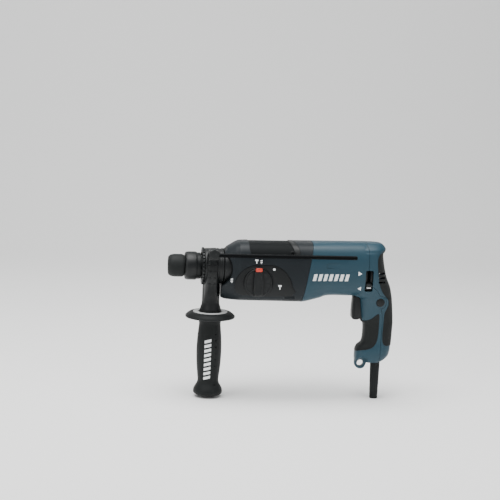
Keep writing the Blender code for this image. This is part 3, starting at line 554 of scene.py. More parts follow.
def grip_loft(rows, inset=0.0):
    """Form down the grip from rows of z, x front, x back and half width."""
    sections = []
    dense = smooth_rows(rows)
    for k, (z, front, back, half) in enumerate(dense):
        level = z - inset if k == 0 else z + inset if k == len(dense) - 1 else z
        def spot(across, upward, level=level, centre=(front + back) / 2):
            return (centre + across, upward, level)
        sections.append(((back - front) / 2 - inset, half - inset, 2.8, spot))
    return loft(sections)


def finish_piece(thing, body, slot, *nodes, finish=None):
    """Give a piece its finish if it has none, the one named by finish or else by slot; attach it to its body
    and hide the nodes it stands for.
    """
    if not len(thing.data.materials):
        thing.data.materials.append(SHELF[finish or slot])
    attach(thing, body)
    if nodes:
        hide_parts(*nodes)
    return thing


def piece(name, shape, body, slot, *nodes, finish=None):
    """A finished piece straight from its shape."""
    return finish_piece(solid(name, shape), body, slot, *nodes, finish=finish)


def printed(name, outlines, surface, body):
    """Thin printed marks laid on the near side of a piece. Outlines are lists of (x, z) points."""
    bpy.context.view_layer.update()
    graph = bpy.context.evaluated_depsgraph_get()
    tree = BVHTree.FromObject(surface, graph)
    shape = bmesh.new()
    for outline in outlines:
        face = shape.faces.new([shape.verts.new((x, 0.0, z)) for x, z in outline])
        bmesh.ops.triangulate(shape, faces=[face])
    bmesh.ops.subdivide_edges(shape, edges=shape.edges, cuts=5, use_grid_fill=True)
    bmesh.ops.recalc_face_normals(shape, faces=shape.faces)
    top = list(shape.faces)
    grown_set = bmesh.ops.extrude_face_region(shape, geom=top)
    lower = {v for v in grown_set["geom"] if isinstance(v, bmesh.types.BMVert)}
    for vert in shape.verts:
        hit = tree.ray_cast(at(vert.co.x, -2 * REACH, vert.co.z), Vector((0.0, 1.0, 0.0)))[0]
        level = hit.y / MM if hit else -SIDE_Y
        vert.co.y = level + (PRINT_LIFT if vert in lower else -PRINT_LIFT)
    return piece(name, shape, body, "pale_nylon", finish="print")


# ---------------------------------------------------------------- forms of the casing, in millimetres

MOTOR_ROWS = [                             # x, z low, z high, half width, exponent
    (200.0, -55.5, 43.6, 38.8, 3.4), (221.0, -53.6, 43.8, 38.8, 3.4), (245.0, -47.8, 44.2, 36.8, 3.2),
    (262.0, -43.0, 44.5, 35.4, 3.1), (304.0, -43.0, 44.8, 34.0, 3.1), (318.0, -41.0, 44.6, 33.6, 3.0),
    (324.0, -36.0, 43.0, 32.0, 2.8),
]
GRIP_ROWS = [                              # z, x front, x back, half width
    (44.6, 300.0, 334.0, 10.0), (43.4, 297.0, 347.6, 16.5), (36.0, 295.0, 354.4, 26.8),
    (31.0, 295.0, 352.6, 29.5), (24.0, 295.0, 350.0, 31.6), (-7.0, 295.0, 356.0, 32.4),
    (-27.0, 296.0, 364.0, 29.5), (-42.0, 304.0, 367.6, 26.0), (-47.0, 314.0, 368.4, 25.0),
    (-64.0, 316.4, 370.4, 21.4), (-84.0, 319.0, 372.0, 18.9), (-92.0, 323.8, 372.0, 18.4),
    (-118.0, 323.0, 371.0, 18.4), (-127.0, 315.0, 370.2, 19.2), (-134.0, 312.2, 369.4, 19.8),
    (-142.0, 311.6, 367.2, 19.8), (-149.0, 311.8, 361.0, 18.8), (-153.5, 314.0, 354.0, 16.0),
]
GEAR_ROWS = [                              # x, z low, z high, half width, exponent
    (86.4, -50.5, 27.0, 31.5, 2.2), (92.0, -52.4, 31.2, 33.0, 2.4), (101.0, -53.0, 36.4, 35.2, 2.8),
    (110.0, -53.2, 41.0, 36.8, 3.2), (122.0, -53.4, 43.0, 38.0, 3.4), (180.0, -53.6, 43.4, 38.6, 3.5),
    (245.0, -54.0, 43.8, 38.8, 3.5),
]
GEAR_HOLLOW = [(106.0, -50.0, 36.6, 33.8, 3.2), (118.0, -50.6, 39.6, 34.8, 3.4),
               (188.0, -50.8, 40.0, 35.2, 3.5), (190.0, -42.0, 31.0, 29.0, 3.0),
               (250.0, -42.0, 31.0, 29.0, 3.0)]
MOTOR_HOLLOW = [(200.0, -52.5, 40.6, 35.8, 3.4), (221.0, -50.4, 40.8, 35.6, 3.4),
                (262.0, -39.8, 41.4, 32.2, 3.1), (319.0, -38.6, 41.6, 30.6, 3.1)]
GRIP_HOLLOW = [(40.0, 306.0, 342.0, 17.0), (20.0, 306.0, 343.0, 25.0), (-27.0, 308.0, 356.0, 22.5),
               (-47.0, 320.0, 361.6, 18.5), (-84.0, 326.0, 365.6, 13.4), (-118.0, 330.0, 365.0, 12.8),
               (-148.0, 324.0, 358.0, 12.8)]

# Regions in side view, as (x, z) points
SEAM_TOP = (233.0, 46.0)
SEAM_BOTTOM = (215.6, -56.0)
BARREL_CUT = ([(60.0, 70.0), (94.0, 70.0), (94.0, 30.0)] + arc((70.0, 0.0), 32.0, 52.0, -58.0, 24)
              + [(82.0, -32.0), (60.0, -33.0)])
SEAM_LINE = ([(320.0, 60.0), (320.0, 44.0), (323.5, 36.0), (324.0, 18.0), (324.0, 0.0), (325.5, -22.0),
              (331.5, -25.0), (339.5, -31.0), (345.6, -40.0)] + arc((LOCK_X, LOCK_Z), 10.6, 95.0, -80.0, 14)
             + [(351.4, -72.0), (352.2, -92.0), (351.2, -130.0), (350.6, -170.0)])
HOUSING_REGION = SEAM_LINE + [(290.0, -190.0), (290.0, -70.0), (SEAM_BOTTOM[0], -70.0), SEAM_BOTTOM,
                              SEAM_TOP, (SEAM_TOP[0], 60.0)]
COVER_REGION = SEAM_LINE + [(390.0, -170.0), (390.0, 60.0)]
GEAR_REGION = [(70.0, 60.0), (SEAM_TOP[0], 60.0), SEAM_TOP, SEAM_BOTTOM, (SEAM_BOTTOM[0], -70.0),
               (70.0, -70.0)]
REAR_RUBBER = [(352.0, 32.5), (345.0, 29.6), (339.6, 24.0), (338.3, 16.0), (338.8, 6.0), (341.4, -14.0),
               (346.0, -29.0), (352.6, -39.0), (359.6, -47.0), (361.2, -54.0), (359.0, -62.0),
               (355.4, -70.0), (354.6, -86.0), (353.8, -104.0), (354.2, -116.0), (357.0, -122.6),
               (362.0, -124.4), (376.0, -124.6), (392.0, -124.6), (392.0, 33.5), (372.0, 33.5)]
FRONT_RUBBER = [(302.0, -84.2), (320.0, -84.0), (332.0, -80.6), (340.0, -74.6), (344.6, -71.2),
                (346.4, -74.0), (346.9, -84.0), (346.7, -98.0), (345.6, -112.0), (342.0, -122.4),
                (334.4, -128.8), (321.0, -132.0), (302.0, -132.8)]
TOP_PANEL = [(129.0, 60.0), (128.0, 34.0), (131.0, 24.0), (204.0, 21.6), (209.4, 24.0), (210.4, 30.0),
             (207.6, 37.0), (200.0, 47.0), (200.0, 60.0)]
DIAL_PANEL = ([(198.6, -40.8), (118.0, -40.8), (106.6, -31.0)] + arc((143.0, -30.0), 38.4, 165.0, 100.0, 14)
              + arc((159.0, -31.0), 40.0, 82.0, 8.0, 18))
WALL_GAP = 0.28                            # half the width of a seam line, wide enough to read


def outer_form(inset=0.0):
    """Outer form of motor housing and grip together."""
    body = form(casing_loft(MOTOR_ROWS, inset))
    grip = form(grip_loft(GRIP_ROWS, inset))
    return settle(combine(body, grip, "UNION"), [grip])


def region(name, outline, low=-REACH, high=REACH, amount=0.0):
    """Slab of the tool cut out along a side-view outline."""
    return solid(name, prism(grown(outline, amount) if amount else outline, low, high))


def cut_all(thing, cutters):
    """Add a cut for each cutter."""
    for cutter in cutters:
        combine(thing, cutter)
    return thing


def drop(*things):
    """Remove objects that are no longer needed."""
    for thing in things:
        bpy.data.objects.remove(thing, do_unlink=True)


# ---------------------------------------------------------------- operators

class HAMMER_OT_stage(bpy.types.Operator):
    """Floor, soft lights and camera."""
    bl_idname = "hammer.stage"
    bl_label = "Stage"

    def execute(self, context):
        stage = context.scene.hammer_stage
        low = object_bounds()[0][2]
        floor_mat, tree, shader = new_material("Pale painted floor")
        place = add_node(tree, "ShaderNodeTexCoord").outputs["Object"]
        cloud = add_node(tree, "ShaderNodeTexNoise", Vector=place, Scale=2.0, Detail=2.0)
        gloss = add_node(tree, "ShaderNodeMapRange", Value=cloud.outputs["Fac"], To_Min=0.75, To_Max=0.9)
        tree.links.new(gloss.outputs["Result"], shader.inputs["Roughness"])
        set_shader(shader, Base_Color=(*stage.floor, 1.0))
        shape = bmesh.new()
        profile = ([(FLOOR_FRONT, 0.0), (FLOOR_BACK, 0.0)]
                   + arc((FLOOR_BACK, SWEEP), SWEEP, -90.0, 0.0, 12)[1:]
                   + [(FLOOR_BACK + SWEEP, BACKDROP_TOP)])
        rows = [[shape.verts.new((side * FLOOR_HALF, y, z + low)) for y, z in profile] for side in (-1, 1)]
        for k in range(len(profile) - 1):
            shape.faces.new([rows[0][k], rows[1][k], rows[1][k + 1], rows[0][k + 1]])
        mesh = bpy.data.meshes.new("floor")
        shape.to_mesh(mesh)
        shape.free()
        mesh.shade_smooth()
        mesh.materials.append(floor_mat)
        floor = bpy.data.objects.new("floor", mesh)
        context.collection.objects.link(floor)
        floor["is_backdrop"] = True

        world = bpy.data.worlds.new("Studio")
        world.use_nodes = True
        set_shader(world.node_tree.nodes["Background"], Color=(*linear("#F4F6F8"), 1.0),
                   Strength=WORLD_STRENGTH)
        context.scene.world = world
        target = Vector(stage.target)
        for name, where, size, power in LIGHTS:
            data = bpy.data.lights.new(name, "AREA")
            data.size = size
            data.energy = power
            lamp = bpy.data.objects.new(name, data)
            context.collection.objects.link(lamp)
            lamp.location = target + Vector(where)
            lamp.rotation_euler = (target - lamp.location).to_track_quat("-Z", "Y").to_euler()

        data = bpy.data.cameras.new("camera")
        data.sensor_width = SENSOR_WIDTH
        data.lens = stage.lens
        camera = bpy.data.objects.new("camera", data)
        context.collection.objects.link(camera)
        flat = cos(stage.elevation)
        away = Vector((sin(stage.azimuth) * flat, -cos(stage.azimuth) * flat, sin(stage.elevation)))
        camera.location = target + away * stage.distance
        look = (-away).to_track_quat("-Z", "Y").to_matrix().to_4x4()
        camera.rotation_euler = (look @ Matrix.Rotation(stage.roll, 4, "Z")).to_euler()
        context.scene.camera = camera
        return {"FINISHED"}


class HAMMER_OT_materials(bpy.types.Operator):
    """Make the finishes and give them to the pieces that the frame already holds."""
    bl_idname = "hammer.materials"
    bl_label = "Finishes"

    def execute(self, context):
        SHELF.update(make_materials())
        for part in frame["record"]["subparts"]:
            thing = frame["nodes"][part["node"]]
            thing.data.materials.clear()
            thing.data.materials.append(SHELF[part["material_slot"]])
        return {"FINISHED"}


class HAMMER_OT_casing(bpy.types.Operator):
    """Motor housing, handle cover and the two grip rubbers."""
    bl_idname = "hammer.casing"
    bl_label = "Motor housing and grip"

    def execute(self, context):
        proud = context.scene.hammer_sizes.proud
        outer = outer_form()
        skin = outer_form(-proud)
        seat = outer_form(SEAT_DEPTH)
        body_core = form(casing_loft(MOTOR_HOLLOW))
        grip_core = form(grip_loft(GRIP_HOLLOW))
        tab = ([(312.0, -146.0), (312.0, -156.0)] + arc((321.6, -156.4), 9.6, 180.0, 322.0, 20)
               + [(333.0, -152.6), (336.0, -146.0)])
        tab = settle(soften(form(prism(tab, -4.5, 4.5)), 1.2, 3, 60.0))
        tab_hole = form(turned([(-20.0, 0.0), (-20.0, 14.0), (-4.0, 5.2), (4.0, 5.2), (20.0, 14.0),
                                (20.0, 0.0)], (321.4, 0.0, -156.2), "y", 48))
        guard_room = form(turned([(-175.0, 0.0), (-175.0, 8.3), (-148.5, 8.3), (-148.5, 10.5),
                                  (-140.0, 10.5), (-140.0, 0.0)], (GUARD_X, 0.0, 0.0), "z", 48, soft=0))
        trigger_room = region("form", [(296.0, -86.0), (296.0, -43.0), (336.0, -43.0), (340.0, -47.0),
                                       (344.0, -84.0)], -9.5, 9.5)
        lock_room = form(disc(-50.0, -10.0, 7.15, (LOCK_X, 0.0, LOCK_Z), "y", 64))
        lever_room = form(prism(rounded_slot(*SLOT_X, *SLOT_Z, 2.2), -50.0, -15.0))
        vents = [form(prism(rounded_slot(*VENT_X, VENT_Z[0] + VENT_STEP * k, VENT_Z[1] + VENT_STEP * k,
                                         1.4), -REACH, REACH)) for k in range(3)]
        front_seat = combine(region("form", smooth_loop(FRONT_RUBBER), amount=0.25), seat)
        rear_seat = combine(region("form", smooth_loop(REAR_RUBBER), amount=0.25), seat)
        settle(front_seat)
        settle(rear_seat)
        # shallow thumb recess in the side of the housing
        thumbs = [form(prism(rounded_slot(253.0, 294.0, 4.6, 13.4, 4.0), *span))
                  for span in ((-REACH, -34.6), (34.6, REACH))]

        housing = combine(region("motor_housing_shell", HOUSING_REGION, amount=-WALL_GAP), outer,
                          "INTERSECT")
        combine(housing, tab, "UNION")
        cutters = [body_core, grip_core, tab_hole, guard_room, trigger_room, lock_room, lever_room,
                   front_seat, rear_seat, *thumbs]
        settle(cut_all(housing, cutters))
        finish_piece(housing, "tool_body", "teal_abs", "motor_housing")

        cover = combine(region("handle_cover_shell", COVER_REGION, amount=-WALL_GAP), outer, "INTERSECT")
        settle(cut_all(cover, [body_core, grip_core, guard_room, lever_room, rear_seat] + vents))
        finish_piece(cover, "tool_body", "teal_abs", "handle_cover")

        for name, outline, node, holes in (
                ("rear_rubber_pad", REAR_RUBBER, "rear_grip_rubber", vents),
                ("front_rubber_pad", FRONT_RUBBER, "front_grip_rubber", [trigger_room])):
            pad = combine(region(name, smooth_loop(outline)), skin, "INTERSECT")
            combine(pad, seat)
            settle(cut_all(pad, holes))
            finish_piece(pad, "tool_body", "black_rubber", node)
        drop(outer, skin, seat, tab, *cutters, *vents)
        return {"FINISHED"}


def rounded_slot(left, right, low, high, radius):
    """Rectangle with round corners, as (x, z) points."""
    out = []
    for cx, cz, first in ((right - radius, high - radius, 0), (left + radius, high - radius, 90),
                          (left + radius, low + radius, 180), (right - radius, low + radius, 270)):
        out += arc((cx, cz), radius, first, first + 90, 6)
    return out


class HAMMER_OT_gear_case(bpy.types.Operator):
    """Grey gear housing, black top cover and the recessed dial panel."""
    bl_idname = "hammer.gear_case"
    bl_label = "Gear housing"

    def execute(self, context):
        outer = form(casing_loft(GEAR_ROWS))
        skin = form(casing_loft(GEAR_ROWS, 1.0))
        floor = form(casing_loft(GEAR_ROWS, SEAT_DEPTH))
        hollow = form(casing_loft(GEAR_HOLLOW))
        front = form(prism(BARREL_CUT, -REACH, REACH))
        bore = form(disc(60.0, 104.3, 30.3, sides=ROUND))
        passage = form(disc(90.0, 120.0, 24.0, sides=64))
        panel_seat = region("form", smooth_loop(DIAL_PANEL, 2), -REACH, -35.7, 0.6)
        stem = form(disc(-60.0, -25.0, 9.0, (DIAL_X, 0.0, DIAL_Z), "y", 48))
        top_seat = combine(region("form", TOP_PANEL, amount=0.25), floor)
        settle(top_seat)
        screws = []
        for side, height in ((-1, 33.0), (1, 33.0), (-1, -46.6), (1, -46.6)):
            where = (0.0, side * 24.0, height)
            screws.append(form(disc(180.0, 216.0, 2.2, where, sides=24)))
            screws.append(form(disc(186.0, 206.3, 3.9, where, sides=32)))
        # pocket at the lower rear corner, where the near screw goes in
        pockets = [form(prism(rounded_slot(188.0, 204.0, -52.0, -41.8, 2.5), *span))
                   for span in ((-REACH, -30.0), (30.0, REACH))]
        badge = form(prism(rounded_slot(109.0, 122.0, 3.6, 13.0, 2.0), -REACH, -37.4))
        housing = combine(region("gear_housing_shell", GEAR_REGION, amount=-WALL_GAP), outer, "INTERSECT")
        cutters = [hollow, front, bore, passage, panel_seat, stem, top_seat, badge] + screws + pockets
        settle(cut_all(housing, cutters))
        finish_piece(housing, "tool_body", "grey_nylon", "gear_housing")

        # black cover: a shallow shelf with a band across its rear end
        cover = combine(region("top_cover_shell", TOP_PANEL), skin, "INTERSECT")
        combine(cover, floor)
        settle(cover)
        finish_piece(cover, "tool_body", "black_nylon", "top_cover", finish="dull_nylon")
        band_line = [(193.0, 60.0), (193.0, 46.0), (199.0, 36.0), (201.6, 29.0), (201.6, 22.2),
                     (204.0, 21.8), (209.2, 24.2), (210.1, 30.0), (207.3, 37.0), (199.8, 47.0),
                     (199.8, 60.0)]
        band_skin = form(casing_loft(GEAR_ROWS, -0.2))
        band_floor = form(casing_loft(GEAR_ROWS, 1.6))
        band = combine(region("top_cover_band", band_line), band_skin, "INTERSECT")
        settle(combine(band, band_floor), [band_skin, band_floor])
        finish_piece(band, "tool_body", "black_nylon")
        for side in (-1, 1):
            well = turned([(-0.8, 5.4), (1.2, 5.0), (1.2, 3.0), (-0.8, 3.0)], (197.4, side * 35.6, 27.0),
                          "y", 40, True, 0.3)
            piece(f"cover_screw_well_{'near' if side < 0 else 'far'}", well, "tool_body", "black_nylon")

        panel = region("dial_panel_plate", smooth_loop(DIAL_PANEL, 2), -37.5, -36.0)
        panel = settle(combine(settle(soften(panel, 0.5, 3, 60.0)), stem))
        finish_piece(panel, "tool_body", "black_nylon", "dial_panel")
        rim = tube(-38.5, -37.3, 25.0, 23.6, (DIAL_X, 0.0, DIAL_Z), "y", ROUND, 0.35)
        cut = form(prism([(DIAL_X - 40, DIAL_Z - 8), (DIAL_X + 40, DIAL_Z - 8), (DIAL_X + 40, -60.0),
                          (DIAL_X - 40, -60.0)], -60.0, 0.0))
        rim = combine(solid("dial_panel_rim", rim), cut)
        settle(rim, [cut])
        finish_piece(rim, "tool_body", "black_nylon")
        drop(outer, skin, floor, *cutters)
        return {"FINISHED"}


class HAMMER_OT_chuck(bpy.types.Operator):
    """Tip cap, sleeve, tool holder and barrel."""
    bl_idname = "hammer.chuck"
    bl_label = "Chuck"

    def execute(self, context):
        cap = [(0.0, 13.2), (0.5, 14.6), (1.8, 16.0), (4.0, 17.3), (7.0, 18.1), (10.5, 18.5), (21.6, 18.5),
               (23.4, 18.1), (25.9, 16.9), (25.9, 13.6), (30.0, 13.6), (30.0, 12.0), (18.0, 12.0),
               (18.0, 9.2), (3.4, 9.2), (1.2, 10.4), (0.4, 11.8)]
        piece("tip_cap_shell", turned(cap, sides=ROUND, closed=True, soft=0.35), "spindle", "black_rubber",
              "tip_cap")
        sleeve = [(27.0, 20.4), (27.6, 21.4), (29.4, 22.4), (32.0, 22.9), (36.0, 23.0), (43.6, 23.0),
                  (44.8, 22.6), (46.4, 21.5), (51.6, 21.4), (52.0, 21.0), (52.0, 18.0), (40.0, 18.0),
                  (40.0, 14.0), (27.0, 14.0)]
        piece("chuck_sleeve_shell", turned(sleeve, sides=ROUND, closed=True, soft=0.3), "chuck_sleeve",
              "black_nylon", "chuck_sleeve")
        holder = [(1.6, 7.0), (2.6, 8.4), (26.0, 8.4), (26.0, 11.2), (52.0, 11.2), (52.0, 14.7),
                  (112.0, 14.7), (112.0, 13.5), (164.0, 13.5), (164.0, 10.0), (98.0, 10.0), (98.0, 6.3),
                  (70.0, 6.3), (70.0, 5.3), (2.6, 5.3), (1.6, 6.0)]
        holder = solid("tool_holder_tube", turned(holder, sides=64, closed=True, soft=0.3))
        windows = [form(box((33.0, -3.7, side * 9.0 - 6.0), (44.0, 3.7, side * 9.0 + 6.0))) for side in (1, -1)]
        # two driving splines stand in the bit's bore
        splines = [form(box((4.0, side * 4.4 - 1.0, -1.3), (30.0, side * 4.4 + 1.0, 1.3))) for side in (1, -1)]
        for spline in splines:
            combine(holder, spline, "UNION")
        settle(cut_all(holder, windows), windows + splines)
        finish_piece(holder, "spindle", "turned_steel", "tool_holder")
        lip = tube(47.4, 59.8, 17.7, 14.9, sides=ROUND)
        piece("dust_lip", lip, "spindle", "black_rubber")
        barrel = [(54.0, 25.4), (54.7, 26.0), (89.6, 26.0), (89.6, 29.4), (90.6, 30.0), (103.4, 30.0),
                  (104.0, 29.6), (104.0, 21.3), (60.0, 21.3), (60.0, 22.3), (54.0, 22.3)]
        piece("barrel_tube", turned(barrel, sides=ROUND, closed=True, soft=0.2), "tool_body", "black_nylon",
              "barrel")
        return {"FINISHED"}


def toothed_ring(name, low, high, inner, root, tip, teeth):
    """Ring with square teeth round its rim."""
    outline = []
    for tooth in range(teeth):
        heading = 2 * pi * tooth / teeth
        for radius, turn in ((root, -0.30), (tip, -0.20), (tip, 0.20), (root, 0.30)):
            turn = heading + turn * 2 * pi / teeth
            outline.append((radius * cos(turn), radius * sin(turn)))
    ring = solid(name, prism(outline, low, high, "x"))
    hole = form(disc(low - 5, high + 5, inner, sides=ROUND))
    return settle(combine(ring, hole), [hole])


class HAMMER_OT_side_clamp(bpy.types.Operator):
    """Clamp of the side handle: toothed collar, strap, neck and the arm that holds the depth rod."""
    bl_idname = "hammer.side_clamp"
    bl_label = "Side handle clamp"

    def execute(self, context):
        clear = form(disc(40.0, 110.0, COLLAR_BORE, sides=ROUND))
        body = solid("clamp_holder_body", turned([(57.6, 27.4), (58.4, 28.6), (60.4, 28.9), (76.6, 29.6),
                                                  (77.6, 29.0), (77.6, COLLAR_BORE), (57.6, COLLAR_BORE)],
                                                 sides=ROUND, closed=True, soft=0.3))
        neck = [(-75.6, 0.0), (-75.6, 17.3), (-74.8, 17.5), (-72.4, 16.5), (-70.2, 16.0), (-66.0, 14.6),
                (-60.0, 14.2), (-28.0, 14.0), (-16.0, 13.6), (-10.0, 13.2), (-10.0, 0.0)]
        neck = form(turned(neck, (NECK_X, 0.0, HANDLE_Z), "z", ROUND))
        # the neck's two cheeks widen and climb round the collar
        cheeks = [(14.5, 11.8, 27.6), (8.0, 12.0, 30.6), (0.0, 12.1, 31.4), (-10.0, 12.1, 31.2),
                  (-18.0, 12.0, 29.4), (-26.0, 11.8, 26.0), (-34.0, 11.6, 21.6), (-42.0, 11.6, 17.4),
                  (-50.0, 11.8, 14.6), (-60.0, 12.4, 12.8)]
        sections = []
        for z, half, reach in smooth_rows(cheeks, 4):
            def spot(across, upward, z=z):
                return (NECK_X + across - 0.6, upward, z)
            sections.append((half, reach, 3.6, spot))
        tongue = form(loft(sections))
        band_clear = form(disc(77.7, 100.0, 29.7, sides=ROUND))
        arm = [(-14.0, 16.0), (-26.0, 24.0), (-44.0, 33.0), (-54.0, 33.0), (-57.6, 29.0), (-57.6, 21.0),
               (-54.0, 17.0), (-40.0, 14.6), (-29.0, 6.0)]
        arm = settle(soften(form(prism(arm, 61.0, 77.0, "x")), 1.6))
        rod_bore = form(disc(50.0, 100.0, 3.45, (0.0, ROD_Y, ROD_Z), sides=32))
        bolt_bore = form(disc(-80.0, -34.0, 4.4, (NECK_X, 0.0, HANDLE_Z), "z", 32))
        for part in (neck, tongue, arm):
            combine(body, part, "UNION")
        notches = []
        for z, face, height in ((6.0, -29.8, 1.1), (-4.0, -30.0, 1.3), (-14.6, -29.2, 1.1),
                                (-25.0, -25.2, 1.1)):
            for left in (-8.4, 1.6):
                wide = 6.6 if z == -4.0 else 5.2
                notches.append(form(box((NECK_X + left, -40.0, z - height),
                                        (NECK_X + left + wide, face, z + height))))
        settle(cut_all(body, [clear, band_clear, rod_bore, bolt_bore] + notches))
        finish_piece(body, "side_handle", "black_nylon", "clamp_holder")

        teeth = toothed_ring("clamp_tooth_ring", 54.5, 57.3, COLLAR_BORE, 28.4, 30.2, 30)
        finish_piece(teeth, "side_handle", "black_nylon")
        strap = turned([(78.0, 28.4), (78.6, 29.3), (81.0, 29.4), (81.6, 28.6), (85.4, 28.6), (86.0, 29.4),
                        (88.4, 29.3), (89.0, 28.6), (89.0, COLLAR_BORE), (78.0, COLLAR_BORE)], sides=ROUND,
                       closed=True, soft=0.2)
        piece("clamp_band_strap", strap, "side_handle", "black_nylon", "clamp_band")
        # hexagonal boss over the rod
        hexagon = [(69.0 + 9.2 * cos(radians(60 * k + 30)), ROD_Z + 2.4 + 8.2 * sin(radians(60 * k + 30)))
                   for k in range(6)]
        boss = solid("rod_boss", prism(hexagon, -59.6, -54.4))
        bore = form(disc(50.0, 100.0, 3.5, (0.0, ROD_Y, ROD_Z), sides=24))
        settle(combine(settle(soften(boss, 0.9)), bore), [bore])
        finish_piece(boss, "side_handle", "black_nylon")
        rod = disc(ROD_START, ROD_END, 3.2, (0.0, ROD_Y, ROD_Z), sides=40, soft=0.7)
        piece("depth_rod_bar", rod, "depth_rod", "core_steel", "depth_rod", finish="rod_steel")
        drop(clear, neck, tongue, band_clear, arm, rod_bore, bolt_bore, *notches)
        return {"FINISHED"}


class HAMMER_OT_side_grip(bpy.types.Operator):
    """Turning rubber grip of the side handle, with its flange and ring, and a bore for its bolt."""
    bl_idname = "hammer.side_grip"
    bl_label = "Side grip"

    def execute(self, context):
        where = (NECK_X, 0.0, HANDLE_Z)
        grip = [(-92.0, 18.9), (-98.0, 17.6), (-108.0, 18.4), (-118.0, 19.4), (-130.0, 20.1),
                (-140.0, 20.4), (-153.0, 20.2), (-165.0, 19.6), (-178.0, 18.4), (-190.0, 17.1),
                (-194.0, 17.4), (-198.0, 18.8), (-202.0, 21.2), (-206.0, 23.2), (-210.0, 23.9),
                (-213.6, 23.0), (-216.0, 20.4), (POMMEL_Z, 17.0)]
        grip = [point[:2] for point in smooth_rows(grip, 3)] + [(POMMEL_Z, 0.0)]
        top = [(-120.0, 0.0), (-120.0, 4.5), (-97.0, 4.5), (-97.0, 8.2), (-90.0, 8.2), (-90.0, 4.5),
               (-76.0, 4.5), (-76.0, 17.6), (-80.0, 19.0), (-80.0, 28.6), (-78.6, 29.0), (-78.7, 31.0),
               (-79.6, 34.0), (-82.4, 38.0), (-85.0, 40.3), (-86.4, 40.5), (-87.8, 39.8), (-88.8, 36.0),
               (-89.6, 30.0), (-90.4, 24.0), (-91.2, 20.6)]
        grip = solid("side_grip_rubber", turned(top + grip, where, "z", ROUND, soft=0), sharp=40.0)
        # column of dimples down the near right of the grip, and its twin on the far side
        dimples = []
        for k in range(9):
            level = -113.0 - 10.6 * k
            radius = 20.3 - abs(level + 145.0) * 0.045
            for side in (0, 180):
                turn = radians(-62.0 + side)
                cutter = turned([(-1.6, 0.0), (0.0, 1.5), (3.0, 2.4), (3.0, 0.0)],
                                (radius - 0.1, 0.0, 0.0), "x", 16, soft=0)
                bmesh.ops.transform(
                    cutter, verts=cutter.verts,
                    matrix=Matrix.Translation((NECK_X, 0.0, level + HANDLE_Z)) @ Matrix.Rotation(turn, 4, "Z"))
                dimples.append(form(cutter))
        settle(cut_all(grip, dimples), dimples, 40.0)
        finish_piece(grip, "side_grip", "black_rubber", "side_grip")
        piece("flange_ring_disc", tube(-79.7, -78.3, 28.0, 19.4, where, "z", ROUND, 0.35), "side_grip",
              "pale_nylon", "flange_ring")
        return {"FINISHED"}


